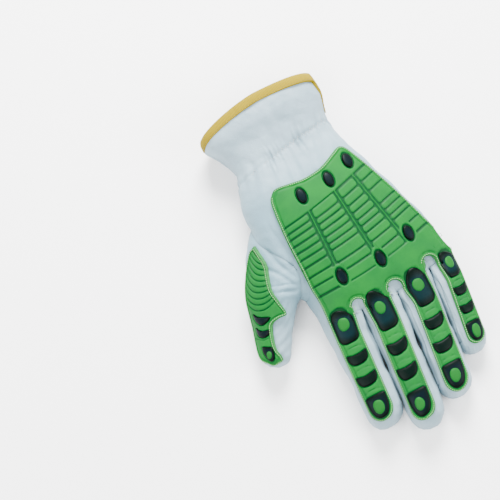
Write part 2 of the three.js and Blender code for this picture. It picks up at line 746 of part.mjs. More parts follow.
// A solid sheet on a surface between two heights above it. Each line gives its place along the
// surface and its two ends across it, the one towards the little finger first.
function sheet(surface, lines, columns, low, high) {
  const skin = new Skin();
  const grid = lines.map(({ along, from, to }) =>
    Array.from({ length: columns + 1 }, (_, c) => {
      const across = mix(from, to, c / columns);
      const point = surface(along, across);
      const sideways = surface(along, across + step).sub(surface(along, across - step));
      const forward = surface(along + step, across).sub(surface(along - step, across));
      skin.steer(point, sideways.cross(forward).normalize());
      return point;
    }));
  for (let r = 0; r + 1 < grid.length; r++) {
    for (let c = 0; c < columns; c++) {
      skin.add({}, [grid[r][c], grid[r][c + 1], grid[r + 1][c + 1], grid[r + 1][c]]);
    }
  }
  skin.finish();
  return solidOf(wall(skin, skin.faces, low, high, 0));
}

// Lines of a pad: straight or round at its start and end
function padLines(from, to, half, round) {
  const run = round === "both" ? Math.min(half, (to - from) / 2) : Math.min(1.2 * half, to - from);
  const arc = (edge, sign) => padArc.map((share) => {
    const width = Math.sqrt(1 - share ** 2);
    return { along: edge + sign * run * share, width };
  });
  const start = round === "both" ? arc(from + run, -1) : [{ along: from, width: 1 }];
  const end = round === "none" ? [{ along: to, width: 1 }] : arc(to - run, 1).reverse();
  return [...start, ...end].map(({ along, width }) => ({ along, from: -half * width, to: half * width }))
    .filter((line, i, all) => i === 0 || line.along - all[i - 1].along > 0.05);
}

// A prism standing on the plan
function prism(points, height) {
  const shape = new THREE.Shape(points);
  const geometry = new THREE.ExtrudeGeometry(shape, { depth: height, bevelEnabled: false });
  return solidOf(geometry.deleteAttribute("normal").deleteAttribute("uv"));
}

function planPoint({ across, along }) {
  return new THREE.Vector2(across * handWidth, along * handLength);
}

function ellipse(middle, width, length, count) {
  return Array.from({ length: count }, (_, i) => {
    const angle = (2 * Math.PI * i) / count;
    const offset = new THREE.Vector2(0.5 * width * Math.cos(angle), 0.5 * length * Math.sin(angle));
    return offset.add(middle);
  });
}

const group = new THREE.Group();
const inner = new THREE.Group();
inner.position.set(0, -palmRest, 0);
group.add(inner);

function place(name, geometry, look) {
  const mesh = new THREE.Mesh(geometry, new THREE.MeshStandardMaterial({ metalness: 0, ...look }));
  mesh.name = name;
  inner.add(mesh);
}

const hand = gloveSkin();
const thumb = thumbSkin();
const thumbHollow = solidOf(filled(thumb, -leather));

// The leather: each panel is a wall, opened where the thumb goes through
function addLeather() {
  const panels = new Set(hand.faces.map((face) => face.panel));
  for (const panel of panels) {
    const faces = hand.faces.filter((face) => face.panel === panel);
    let solid = solidOf(wall(hand, faces, -leather, 0, seamGap / 2));
    if (panel === "back_leather" || panel === "palm_leather") solid = solid.subtract(thumbHollow);
    place(panel, geometryOf(solid), hide);
  }
  const tube = solidOf(filled(thumb, 0)).subtract(thumbHollow);
  place("thumb_leather", geometryOf(tube.subtract(solidOf(filled(hand, clearance)))), hide);
}

function addThumbPatch() {
  const curve = new THREE.SplineCurve([...patchOutline, patchOutline[0]].map(planPoint));
  const leaf = prism(curve.getPoints(patchPoints).slice(0, -1), handHeight);
  const palm = hand.faces.filter((face) => face.region === "hand" && face.zone === "front");
  const blanket = solidOf(wall(hand, palm, clearance, clearance + patchThick, 0));
  const body = blanket.intersect(leaf).subtract(solidOf(filled(thumb, clearance)));
  place("thumb_patch", geometryOf(body), hide);
}

// Tape folded over the hem: a U section carried round the hem's corners
function addBinding() {
  const rim = openEdges(hand.faces);
  const next = new Map(rim.map(({ from, to }) => [from, to]));
  const ring = [rim[0].from];
  while (ring.length < rim.length) ring.push(next.get(ring[ring.length - 1]));
  const down = new Map();
  for (const face of hand.faces) {
    face.ids.forEach((id, i) => {
      const other = face.ids[(i + 1) % face.ids.length];
      if (next.has(id) && !next.has(other)) down.set(id, hand.points[other]);
      if (next.has(other) && !next.has(id)) down.set(other, hand.points[id]);
    });
  }
  const outside = clearance + bindingThick;
  const profile = [
    { run: bindingWidth, height: outside },
    { run: -outside, height: outside },
    { run: -outside, height: -leather - outside },
    { run: bindingWidth, height: -leather - outside },
    { run: bindingWidth, height: -leather - clearance },
    { run: -clearance, height: -leather - clearance },
    { run: -clearance, height: clearance },
    { run: bindingWidth, height: clearance },
  ];
  const points = [];
  for (const id of ring) {
    const edge = hand.points[id];
    const along = down.get(id).clone().sub(edge).normalize();
    for (const { run, height } of profile) {
      const foot = edge.clone().addScaledVector(along, run);
      points.push(foot.addScaledVector(hand.normals[id], height));
    }
  }
  const faces = [];
  const count = profile.length;
  ring.forEach((_, i) => {
    const j = (i + 1) % ring.length;
    profile.forEach(({ run }, a) => {
      const b = (a + 1) % count;
      const inwards = profile[b].run < run;
      const face = [i * count + a, i * count + b, j * count + b, j * count + a];
      faces.push(inwards ? [...face.slice(1), face[0]] : face);
    });
  });
  place("cuff_binding", meshOf(points, faces), gold);
}

// Outline of the plate with a tongue for each finger strip and a round notch between two tongues
function plateOutline() {
  const points = [...wristEdge, ...littleEdge].map(planPoint);
  const corner = (k, side) => {
    const { x, y } = fingerBack(k)(-tongue, (side * fingers[k].strip * stripWidth) / 2);
    return new THREE.Vector2(x, y);
  };
  for (let k = fingers.length - 1; k >= 0; k--) {
    points.push(corner(k, -1), corner(k, 1));
    if (k === 0) break;
    const near = corner(k, 1);
    const far = corner(k - 1, -1);
    const top = crotches[k].along - webRun / 2;
    const half = (far.x - near.x) / 2;
    for (let i = 0; i <= notchSteps; i++) {
      const angle = Math.PI - (Math.PI * i) / notchSteps;
      const x = (far.x + near.x) / 2 + half * Math.cos(angle);
      points.push(new THREE.Vector2(x, top + half * (1 - Math.sin(angle))));
    }
  }
  points.push(...thumbEdge.map(planPoint));
  return points;
}

// A pad let into a guard's top face: the solid itself, and the wider pocket to cut for it
function inletPad(surface, from, to, half, round) {
  const floor = guardLift + guardFloor;
  const top = guardLift + guardThick;
  const body = padLines(from, to, half, round);
  const wide = padLines(from - clearance, to + clearance, half + clearance, round);
  return {
    body: sheet(surface, body, 2, floor + clearance, top + padProud),
    pocket: sheet(surface, wide, 2, floor, top + cutOver),
  };
}

// A button standing on a pad, round about a place along the surface
function padButton(surface, middle, width, length) {
  const low = guardLift + guardThick + padProud + clearance;
  const lines = padLines(middle - length / 2, middle + length / 2, width / 2, "both");
  return sheet(surface, lines, 2, low, low + buttonProud);
}

// Lines of a finger strip: straight sides and a round end
function stripLines(length, width) {
  const half = width / 2;
  const straight = [-stripRoot, ...stripRows.map((share) => share * length)];
  const lines = straight.map((along) => ({ along, from: -half, to: half }));
  tipRows.forEach((share) => {
    const reach = half * Math.sqrt(1 - share ** 2);
    lines.push({ along: length - half * (1 - share), from: -reach, to: reach });
  });
  return lines;
}

// Outline of a groove that runs over the hand, at a share of the way to the fingers
function grooveOutline(share) {
  const along = mix(grooveSpan.from, grooveSpan.to, share) * handLength;
  const slant = mix(grooveSlant.wrist, grooveSlant.fingers, share);
  const line = (place, side) => {
    const across = place * handWidth;
    const bow = -grooveBow * across * place;
    return new THREE.Vector2(across, along + slant * across + bow + (side * grooveWidth) / 2);
  };
  const near = groovePlaces.map((place) => line(place, -1));
  const far = groovePlaces.toReversed().map((place) => line(place, 1));
  return [...near, ...far];
}

function addBackGuard() {
  const bottom = guardLift;
  const top = guardLift + guardThick;
  const tall = 2 * handHeight;
  const backs = hand.faces.filter((face) => face.region === "hand" && face.zone === "back");
  const blanket = (low, high) => solidOf(wall(hand, backs, low, high, 0));
  let guard = blanket(bottom, top).intersect(prism(plateOutline(), tall));
  const grooves = blanket(top - grooveDepth, top + cutOver);
  for (let i = 0; i < grooveSpan.count; i++) {
    const outline = grooveOutline(i / (grooveSpan.count - 1));
    guard = guard.subtract(prism(outline, tall).intersect(grooves));
  }
  const pockets = blanket(bottom + guardFloor, top + cutOver);
  const inlays = blanket(bottom + guardFloor + clearance, top + padProud);
  ovals.forEach((oval, i) => {
    const middle = planPoint(oval);
    const hole = ellipse(middle, ovalWidth + 2 * clearance, ovalLength + 2 * clearance, ovalSides);
    guard = guard.subtract(prism(hole, tall).intersect(pockets));
    const inlay = prism(ellipse(middle, ovalWidth, ovalLength, ovalSides), tall).intersect(inlays);
    place(`oval_inlay_${i + 1}`, geometryOf(inlay), black);
  });
  fingers.forEach((finger, k) => {
    const surface = fingerBack(k);
    const length = finger.length * fingerLength - finger.bare;
    const width = finger.strip * stripWidth;
    guard = guard.add(sheet(surface, stripLines(length, width), 2, bottom, top));
    stripPads.forEach(({ from, to, round }, i) => {
      const pad = inletPad(surface, from * length, to * length, (padWidth * width) / 2, round);
      guard = guard.subtract(pad.pocket);
      place(`${finger.name}_pad_${i + 1}`, geometryOf(pad.body), black);
    });
    const last = stripPads[stripPads.length - 1];
    const tip = mix(last.from, last.to, tipButton) * length;
    const round = finger.strip * buttonWidth;
    const button = (middle) => geometryOf(padButton(surface, middle, round, buttonLength));
    place(`${finger.name}_button_base`, button(baseButton), green);
    place(`${finger.name}_button_tip`, button(tip), green);
  });
  place("back_guard", geometryOf(guard), green);
}

function addThumbGuard() {
  const bottom = guardLift;
  const top = guardLift + guardThick;
  const lines = thumbGuardSections.map(({ at, outer, inner }) => ({
    along: at * thumbLength,
    from: -inner * thumbGuardWidth,
    to: outer * thumbGuardWidth,
  }));
  const around = solidOf(filled(hand, clearance));
  let guard = sheet(thumbBack, lines, 6, bottom, top).subtract(around);
  for (let i = 0; i < thumbRibs.count; i++) {
    const along = mix(thumbRibs.from, thumbRibs.to, i / (thumbRibs.count - 1)) * thumbLength;
    const half = (thumbRibs.width * thumbGuardWidth) / 2;
    const edges = [along - grooveWidth / 2, along + grooveWidth / 2];
    const groove = edges.map((edge) => ({ along: edge, from: -half, to: half }));
    guard = guard.subtract(sheet(thumbBack, groove, 2, top - grooveDepth, top + cutOver));
  }
  const beside = (across) => (along, place) => thumbBack(along, place + across * thumbGuardWidth);
  thumbPads.forEach(({ from, to, round, across, width }, i) => {
    const half = (width * thumbGuardWidth) / 2;
    const pad = inletPad(beside(across), from * thumbLength, to * thumbLength, half, round);
    guard = guard.subtract(pad.pocket);
    place(`thumb_pad_${i + 1}`, geometryOf(pad.body), black);
  });
  const last = thumbPads[thumbPads.length - 1];
  const middle = mix(last.from, last.to, tipButton) * thumbLength;
  const button = padButton(beside(last.across), middle, thumbButton, thumbButton);
  place("thumb_button", geometryOf(button), green);
  place("thumb_guard", geometryOf(guard), green);
}

addLeather();
addThumbPatch();
addBinding();
addBackGuard();
addThumbGuard();

export default group;
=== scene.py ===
"""Looks of a leather work glove for the left hand with moulded impact guards, around its CAD model.

Sizes are millimetres in the glove's own frame: x to the thumb side, y from the cuff's hem to the
fingertips, z up from the ground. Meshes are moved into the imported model's frame and scaled to metres.
"""
import math

import bpy
import numpy as np
from mathutils import Matrix, Vector


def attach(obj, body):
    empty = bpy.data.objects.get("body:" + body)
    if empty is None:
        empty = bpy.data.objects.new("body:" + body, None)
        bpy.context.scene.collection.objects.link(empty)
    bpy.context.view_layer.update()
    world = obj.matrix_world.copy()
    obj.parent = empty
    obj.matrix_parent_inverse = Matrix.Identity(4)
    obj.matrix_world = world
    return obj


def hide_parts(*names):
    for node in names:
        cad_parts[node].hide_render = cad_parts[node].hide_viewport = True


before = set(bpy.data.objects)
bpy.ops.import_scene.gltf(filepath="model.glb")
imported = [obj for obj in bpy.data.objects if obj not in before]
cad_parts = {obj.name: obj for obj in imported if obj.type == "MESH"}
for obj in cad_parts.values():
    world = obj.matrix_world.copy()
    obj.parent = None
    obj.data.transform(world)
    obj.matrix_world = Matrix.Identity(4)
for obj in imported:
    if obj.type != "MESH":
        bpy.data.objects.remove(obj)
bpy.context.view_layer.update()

# Sizes of the leather, as in the CAD model
HAND_LENGTH, HAND_WIDTH, HAND_HEIGHT = 158.0, 100.0, 37.0
WRIST_WIDTH, WRIST_HEIGHT = 73.0, 33.0
CUFF_WIDTH, CUFF_HEIGHT = 89.0, 41.0
FINGER_LENGTH, FINGER_WIDTH, FINGER_HEIGHT = 91.0, 26.0, 23.0
THUMB_LENGTH, THUMB_WIDTH, THUMB_HEIGHT = 99.0, 27.0, 23.0
LEATHER = 1.4
WEB_RUN = 16.0
SLIT = 0.4
HEM_BOW = 3.0
HEM_FALL = 7.0
VENT_DEPTH = 20.0
GATHER_DEPTH, GATHER_RUN = 0.7, 11.0
HEM_RISE = 19.0
HEM_LIFT = 1.3
FINGER_POWER, THUMB_POWER, HAND_POWER = 0.8, 0.88, 0.8
PALM_REST = 0.64 * HAND_LENGTH
BINDING_WIDTH = 5.5
STRIP_WIDTH = 16.0
TONGUE = 2.0
THUMB_GUARD_WIDTH = 21.0
GUARD_TOP = 3.2
SIDE = math.radians(20)
COLUMN_STEP = .004
GUARD_LIFT = .1
FAR = 9.0
BORDER_INSET = 1.5
TIP_ROWS, CAP_ROWS = 22, 26


def columns(names, rows):
    """A table as one array a column."""
    return dict(zip(names.split(), np.array(rows, float).T))


HAND = columns("at thumb little seam rise depth crown", [
    (0.0, .49 * CUFF_WIDTH, .49 * CUFF_WIDTH, .5 * CUFF_HEIGHT, .5 * CUFF_HEIGHT, .52 * CUFF_HEIGHT, 0),
    (.08, .5 * CUFF_WIDTH, .49 * CUFF_WIDTH, .49 * CUFF_HEIGHT, .48 * CUFF_HEIGHT, .51 * CUFF_HEIGHT, 0),
    (.15, .53 * WRIST_WIDTH, .555 * WRIST_WIDTH, .56 * WRIST_HEIGHT, .53 * WRIST_HEIGHT,
     .54 * WRIST_HEIGHT, .02),
    (.235, .455 * WRIST_WIDTH, .545 * WRIST_WIDTH, .53 * WRIST_HEIGHT, .48 * WRIST_HEIGHT,
     .48 * WRIST_HEIGHT, .05),
    (.285, 36, 41.5, .47 * HAND_HEIGHT, .46 * HAND_HEIGHT, .46 * HAND_HEIGHT, .08),
    (.39, 41, 47.6, .46 * HAND_HEIGHT, .53 * HAND_HEIGHT, .49 * HAND_HEIGHT, .14),
    (.53, 43, 55.6, .44 * HAND_HEIGHT, .56 * HAND_HEIGHT, .49 * HAND_HEIGHT, .2),
    (.65, 40, 62.2, .41 * HAND_HEIGHT, .54 * HAND_HEIGHT, .46 * HAND_HEIGHT, .23),
    (.81, 32.5, 68.5, .37 * HAND_HEIGHT, .48 * HAND_HEIGHT, .42 * HAND_HEIGHT, .25),
    (1.0, 29.5, 70.5, .33 * HAND_HEIGHT, .36 * HAND_HEIGHT, .36 * HAND_HEIGHT, .25),
])
FINGERS = ["index", "middle", "ring", "little"]
FINGER = columns("length width height lean base tip strip shift bare", [
    (.86, 1.09, 1.0, 3.4, -4, -10, 1, 1.2, 5),
    (1.0, 1.05, 1.04, 4.5, 8, -4, 1, 2.6, 6.5),
    (.92, 1.02, .98, 5.2, 18, 5, 1, 1.4, 4),
    (.73, .83, .86, 5.0, 32, 12, .76, 0, 5),
])
CROTCH = columns("across along", [
    (29.5, .99 * HAND_LENGTH),
    (1.6, 1.005 * HAND_LENGTH),
    (-25.1, 1.005 * HAND_LENGTH),
    (-52.3, .977 * HAND_LENGTH),
    (-69.7, .95 * HAND_LENGTH),
])
FINGER_SECTION = columns("at width height seam", [(0, 1, 1, .5), (.5, .96, .95, .46), (1, .88, .86, .41)])
THUMB_ANGLE = math.radians(27)
THUMB_ROOT = (24.0, .494 * HAND_LENGTH)
THUMB = columns("at shift width height lift roll", [
    (0, 0, 1.3, .85, .72, -8),
    (.28, .05, 1.52, 1.02, .68, -20),
    (.45, .11, 1.46, 1.1, .64, -32),
    (.55, .13, 1.28, 1.1, .6, -38),
    (.74, .08, .92, .93, .5, -44),
    (1, .03, .74, .76, .4, -46),
])
PLAN = np.array([HAND_WIDTH, HAND_LENGTH])
WRIST_EDGE = np.array([(.204, .405), (.18, .391), (.14, .389), (.08, .395), (-.035, .404), (-.17, .392),
                       (-.3, .353), (-.33, .343), (-.352, .342)]) * PLAN
LITTLE_EDGE = np.array([(-.352, .342), (-.375, .35), (-.4, .375), (-.48, .494), (-.575, .652),
                        (-.66, .812), (-.725, .905)]) * PLAN
THUMB_EDGE = np.array([(.204, .405), (.226, .418), (.241, .445), (.261, .566), (.267, .755),
                       (.248, .9)]) * PLAN
OVALS = np.array([(.038, .47), (-.178, .456), (-.353, .415), (.046, .847), (-.24, .853),
                  (-.491, .808)]) * PLAN
OVAL_HALF = (3.1, 5.1)
STRIP_PADS = [(-.115, .245, "both"), (.34, .455, "end"), (.55, .665, "end"), (.765, .97, "end")]
PAD_WIDTH = .7
BASE_BUTTON, TIP_BUTTON = 5.0, .54
BUTTON_SIZE = (9.0, 6.4)
THUMB_GUARD = columns("at outer inner", [
    (.18, .36, -.3), (.22, .5, -.2), (.3, .56, .02), (.4, .54, .16), (.5, .5, .36), (.58, .46, .64),
    (.655, .43, .84), (.685, .42, .58), (.72, .4, .38), (.77, .38, .34), (.85, .32, .38),
    (.9, .26, .46), (.935, .18, .6), (.96, .06, .66), (.98, -.1, .5)])
PATCH = np.array([(.3, .755), (.2, .7), (.155, .6), (.15, .5), (.2, .39), (.29, .47), (.335, .6)]) * PLAN


# Surfaces of the hand, the fingers and the thumb

def ease(t):
    """3t² - 2t³ between 0 and 1."""
    t = np.clip(t, 0, 1)
    return t * t * (3 - 2 * t)


def mix(a, b, t):
    return a + (b - a) * t


def stack(*parts):
    return np.stack(np.broadcast_arrays(*parts), -1)


def unit(v):
    return v / np.maximum(np.linalg.norm(v, axis=-1, keepdims=True), 1e-12)


def between(rows, at):
    """A table's columns at shares, on the cubic a + (b-a)(3t²-2t³) + span(t(1-t)²p - t²(1-t)q)."""
    place = rows["at"]
    at = np.clip(at, place[0], place[-1])
    i = np.clip(np.searchsorted(place, at, side="right") - 1, 0, len(place) - 2)
    span = place[i + 1] - place[i]
    t = (at - place[i]) / span
    found = {}
    for key, value in rows.items():
        ahead = np.append(value[1:], value[-1])
        back = np.insert(value[:-1], 0, value[0])
        run = np.append(place[1:], place[-1]) - np.insert(place[:-1], 0, place[0])
        slope = (ahead - back) / run
        found[key] = mix(value[i], value[i + 1], t * t * (3 - 2 * t)) + span * (
            t * (1 - t) ** 2 * slope[i] - t * t * (1 - t) * slope[i + 1])
    return found


def signed_power(value, power):
    return np.sign(value) * np.abs(value) ** power


def boxy(angle, power):
    """Cosine and sine raised to a power below one, signs kept."""
    return signed_power(np.cos(angle), power), signed_power(np.sin(angle), power)


def path_length(points):
    """Length along a line of points, at each of them."""
    return np.insert(np.cumsum(np.linalg.norm(np.diff(points, axis=0), axis=1)), 0, 0)


def settle(p):
    """Lifts points to the ground, the hem by its binding and the palm by its hollow."""
    x, y, z = np.moveaxis(p, -1, 0)
    low = np.maximum(z, HEM_LIFT * (1 - ease((y - 1.5 * BINDING_WIDTH) / HEM_RISE)))
    u = (x - 25) / 22
    v = (y - .56 * HAND_LENGTH) / (.32 * HAND_LENGTH)
    under = (1 - ease(low / (.4 * HAND_HEIGHT))) * (1 - ease(u ** 4 + v ** 4))
    return stack(x, y, low + 3 * under)


def finger_frame(k, share):
    """Middle, half width, rise, roll and length of a finger's section."""
    section = between(FINGER_SECTION, share)
    length = FINGER["length"][k] * FINGER_LENGTH
    half = section["width"] * FINGER["width"][k] * FINGER_WIDTH / 2
    left = np.clip((1 - share) * length / half, 0, 1)
    tip = (1 - (1 - left) ** 2.3) ** (1 / 2.1)
    x = (CROTCH["across"][k] + CROTCH["across"][k + 1]) / 2
    x = x + np.tan(np.radians(FINGER["lean"][k])) * share * length
    y = (CROTCH["along"][k] + CROTCH["along"][k + 1]) / 2 + share * length
    z = section["seam"] * FINGER["height"][k] * FINGER_HEIGHT
    rise = .5 * section["height"] * FINGER["height"][k] * FINGER_HEIGHT * tip
    roll = np.radians(mix(FINGER["base"][k], FINGER["tip"][k], share))
    return x, y, z, half * tip, rise, roll, length


def finger_side(share):
    return np.radians(mix(24, 9, ease(share)))


def finger_point(k, share, q):
    """Section point: q runs 0-1 over the back, 1-2 down the little side, 2-3 the front, 3-4 up."""
    x, y, z, half, rise, roll, _ = finger_frame(k, share)
    turn = np.interp(q, [0, 1, 2, 3, 4], [0, math.pi, math.pi, 2 * math.pi, 2 * math.pi])
    angle = turn + finger_side(share) * np.interp(q, [0, 1, 2, 3, 4], [1, -1, 1, -1, 1])
    across, up = boxy(angle, FINGER_POWER)
    across, up = across * half, up * rise
    return stack(x + across * np.cos(roll) - up * np.sin(roll), y,
                 z + across * np.sin(roll) + up * np.cos(roll))


WEB_TOP = np.array([0] + [(finger_point(k - 1, 0., 1.)[2] + finger_point(k, 0., 4.)[2]) / 2
                          for k in (1, 2, 3)] + [0])
WEB_LOW = np.array([0] + [(finger_point(k - 1, 0., 2.)[2] + finger_point(k, 0., 3.)[2]) / 2
                          for k in (1, 2, 3)] + [0])


def side_move(k, q):
    """How far a root section's side point moves to the line down the web, for q in 1-2 or 3-4."""
    k, q = np.broadcast_arrays(k, q)
    j = np.where(q <= 2, k + 1, k)
    share = np.where(q <= 2, q - 1, 4 - q)
    here = finger_point(k, np.zeros(k.shape), q)
    web = stack(CROTCH["across"][j], CROTCH["along"][j], mix(WEB_TOP[j], WEB_LOW[j], share))
    only = stack(0., CROTCH["along"][j] - here[..., 1], 0.)
    return np.where(((j == 0) | (j == 4))[..., None], only, web - here)


def web_move(k, q):
    """The move of any root point: sides by side_move, back and front between their two ends."""
    k, q = np.broadcast_arrays(k, q)
    side = side_move(k, np.where(q < 2, np.clip(q, 1, 2), np.clip(q, 3, 4)))
    back = mix(side_move(k, np.full(q.shape, 4.)), side_move(k, np.full(q.shape, 1.)), q[..., None])
    front = mix(side_move(k, np.full(q.shape, 2.)), side_move(k, np.full(q.shape, 3.)),
                q[..., None] - 2)
    place = q[..., None]
    return np.where(place < 1, back, np.where((place > 2) & (place < 3), front, side))


def finger_skin(k, share, q):
    """A point of a finger's skin, drawn over to its neighbours near the crotch."""
    k, share, q = np.broadcast_arrays(k, np.asarray(share, float), np.asarray(q, float))
    point = finger_point(k, share, q)
    x, _, _, half, _, _, length = finger_frame(k, share)
    pull = 1 - ease(share * length / WEB_RUN)
    move = web_move(k, q)
    point = point + stack(move[..., 0] * pull, move[..., 1] * (1 - share), move[..., 2] * pull)
    room = SLIT * (1 - pull)
    narrow = np.where(half > 0, 1 - room / np.maximum(np.maximum(half, room), 1e-9), 1)
    point[..., 0] = mix(x, point[..., 0], narrow)
    return settle(point)


KNUCKLE_MIDDLE = (HAND["thumb"][-1] - HAND["little"][-1]) / 2
KNUCKLE_HALF = (HAND["thumb"][-1] + HAND["little"][-1]) / 2
SHARES = (CROTCH["across"][1:4] - KNUCKLE_MIDDLE) / KNUCKLE_HALF
EDGES = np.array([SIDE, *np.arccos(signed_power(SHARES, 1 / HAND_POWER)), math.pi - SIDE])


def hand_angle(k, q):
    """Angle round the hand of a column."""
    back = mix(EDGES[k], EDGES[k + 1], q)
    little = math.pi + SIDE * (2 * (q - 1) - 1)
    front = 2 * math.pi - mix(EDGES[k + 1], EDGES[k], q - 2)
    thumb = 2 * math.pi + SIDE * (2 * (q - 3) - 1)
    return np.where(q < 1, back, np.where(q < 2, little, np.where(q < 3, front, thumb)))


def hem_at(angle):
    """Hem's distance from the cuff line: notched at the little side, bowed at the back, drawn back
    at the thumb side."""
    bow = HEM_BOW * np.maximum(np.sin(angle), 0)
    return VENT_DEPTH * ease(1 - np.abs(angle - math.pi) / SIDE) - bow + HEM_FALL * np.maximum(
        np.cos(angle), 0)


def hand_section(y):
    section = between(HAND, y / HAND_LENGTH)
    middle = (section["thumb"] - section["little"]) / 2
    return section, middle, section["thumb"] - middle


def hand_gap(p):
    """Distance outwards from the hand's section along the ray from its middle."""
    x, y, z = np.moveaxis(p, -1, 0)
    section, middle, half = hand_section(y)
    a = (x - middle) / half
    tall = np.where(z > section["seam"], section["rise"] * (1 + section["crown"] * np.clip(a, -1, 1)),
                    section["depth"])
    u = (z - section["seam"]) / tall
    ratio = np.maximum((np.abs(a) ** 2.5 + np.abs(u) ** 2.5) ** .4, 1e-3)
    return np.hypot(x - middle, z - section["seam"]) * (1 - 1 / ratio)


def thumb_frame(share):
    """Middle, up and right directions, half width and rise of the thumb's section."""
    section = between(THUMB, share)
    half = section["width"] * THUMB_WIDTH / 2
    left = np.clip((1 - share) * THUMB_LENGTH / (.75 * half), 0, 1)
    tip = (1 - (1 - left) ** 2.3) ** (1 / 2.1)
    c, s = math.cos(THUMB_ANGLE), math.sin(THUMB_ANGLE)
    along = share * THUMB_LENGTH
    shift = section["shift"] * THUMB_WIDTH
    middle = stack(THUMB_ROOT[0] + s * along + c * shift, THUMB_ROOT[1] + c * along - s * shift,
                   section["lift"] * THUMB_HEIGHT)
    roll = np.radians(-section["roll"])
    up = stack(np.sin(roll) * c, -np.sin(roll) * s, np.cos(roll))
    right = stack(np.cos(roll) * c, -np.cos(roll) * s, -np.sin(roll))
    return middle, up, right, half * tip, section["height"] * THUMB_HEIGHT * tip / 2


def thumb_raw(share, angle):
    middle, up, right, half, rise = thumb_frame(share)
    across, high = boxy(angle, THUMB_POWER)
    return middle + right * (across * half)[..., None] + up * (high * rise)[..., None]


def thumb_gap(p):
    """Distance outwards from the thumb's section along the ray from its middle."""
    c, s = math.cos(THUMB_ANGLE), math.sin(THUMB_ANGLE)
    share = ((p[..., 0] - THUMB_ROOT[0]) * s + (p[..., 1] - THUMB_ROOT[1]) * c) / THUMB_LENGTH
    middle, up, right, half, rise = thumb_frame(np.clip(share, 0, .9))
    d = p - middle
    a, u = (d * right).sum(-1), (d * up).sum(-1)
    ratio = np.maximum((np.abs(a / half) ** 2.273 + np.abs(u / rise) ** 2.273) ** (1 / 2.273), 1e-3)
    return np.hypot(a, u) * (1 - 1 / ratio)


def union_gap(p):
    """Hand and thumb joined with a soft fillet: min(h, t) - w²r/4, w = (r - |h - t|)/r above 0."""
    h, t = hand_gap(p), thumb_gap(p)
    c, s = math.cos(THUMB_ANGLE), math.sin(THUMB_ANGLE)
    share = ((p[..., 0] - THUMB_ROOT[0]) * s + (p[..., 1] - THUMB_ROOT[1]) * c) / THUMB_LENGTH
    radius = .5 + 11 * ease((share - .02) / .3)
    w = np.maximum(radius - np.abs(h - t), 0) / radius
    return np.minimum(h, t) - w * w * radius / 4


def slope(field, p, step=.1):
    """Unit direction in which a field rises fastest, from central differences."""
    away = np.stack([field(p + step * axis) - field(p - step * axis) for axis in np.eye(3)], -1)
    return away / np.linalg.norm(away, axis=-1, keepdims=True)


def pulled(field, p, times=4):
    """Points moved to a field's zero by steps p - f g, g the unit direction of its slope."""
    for _ in range(times):
        g = slope(field, p)
        move = field(p)[..., None] * g / np.maximum((g * g).sum(-1, keepdims=True), .2)
        p = p - np.clip(move, -3, 3)
    return p


def joined(p):
    """Points near both hand and thumb brought onto the filleted surface."""
    near = (np.abs(thumb_gap(p)) < 14) & (np.abs(hand_gap(p)) < 14)
    out = p.copy()
    if near.any():
        out[near] = pulled(union_gap, p[near])
    return out


def hand_raw(k, q, share):
    """The hand's section point before it rests on the ground, with the finger root and its share."""
    k, q, share = np.broadcast_arrays(k, np.asarray(q, float), np.asarray(share, float))
    angle = hand_angle(k, q)
    root = finger_skin(k, np.zeros(q.shape), q)
    y = mix(hem_at(angle), root[..., 1], share)
    section, middle, half = hand_section(y)
    across, up = boxy(angle, HAND_POWER)
    tall = np.where(up > 0, section["rise"] * (1 + section["crown"] * across), section["depth"])
    near = np.exp(-((y - .235 * HAND_LENGTH) / GATHER_RUN) ** 2)
    pucker = GATHER_DEPTH * np.cos(4 * math.pi * q) * near / HAND_WIDTH
    point = stack(middle + half * across * (1 + pucker), y,
                  section["seam"] + tall * up * (1 + pucker * HAND_WIDTH / HAND_HEIGHT))
    part = ease((y - root[..., 1] + WEB_RUN) / WEB_RUN) ** 1.5
    return point, root, part


def hand_skin(k, q, share):
    """A point of the hand's skin, which parts into the finger roots over its last stretch."""
    point, root, part = hand_raw(k, q, share)
    return mix(settle(joined(point)), root, part[..., None])


def hand_face(x, y, column):
    """The hand's skin at places of the plan, by Newton steps on column and row.

    column turns a share across a finger's root into q on the side that is asked for.
    """
    x, y = np.broadcast_arrays(np.asarray(x, float), np.asarray(y, float))
    _, middle, half = hand_section(y)
    a = np.clip((x - middle) / half, -1, 1)
    place = np.interp(np.arccos(signed_power(a, 1 / HAND_POWER)), EDGES, [0, 1, 2, 3, 4])
    share = y / HAND_LENGTH

    def at(place, share):
        k = np.clip(place.astype(int), 0, 3)
        return hand_skin(k, column(place - k), share)
    for _ in range(7):
        p = at(place, share)
        ahead = np.where(place > 2, place - COLUMN_STEP, place + COLUMN_STEP)
        rate = (at(ahead, share)[..., 0] - p[..., 0]) / (ahead - place)
        place = np.clip(place + np.clip((x - p[..., 0]) / np.minimum(rate, -2), -.3, .3), 0, 4)
        share = np.clip(share + (y - p[..., 1]) / HAND_LENGTH, 0, 1)
    return at(place, share)


def hand_back(x, y):
    return hand_face(x, y, lambda share: share)


def hand_front(x, y):
    return hand_face(x, y, lambda share: 3 - share)


def finger_back(k):
    """The back of a finger: along from the crotch, across to the thumb side, in millimetres."""
    length = FINGER["length"][k] * FINGER_LENGTH
    root = (CROTCH["along"][k] + CROTCH["along"][k + 1]) / 2

    def surface(along, across):
        along, across = np.broadcast_arrays(np.asarray(along, float), np.asarray(across, float))
        share = np.maximum(along / length, 0)
        half = finger_frame(k, np.minimum(share, .8))[3]
        q = .5 - (across + FINGER["shift"][k]) / (half * (math.pi - 2 * finger_side(share)))
        whole = np.full(along.shape, k)
        ahead = finger_skin(whole, share, q)
        behind = hand_skin(whole, np.clip(q, 0, .999), np.minimum(1 + along / root, 1))
        return np.where((along >= 0)[..., None], ahead, behind)
    return surface


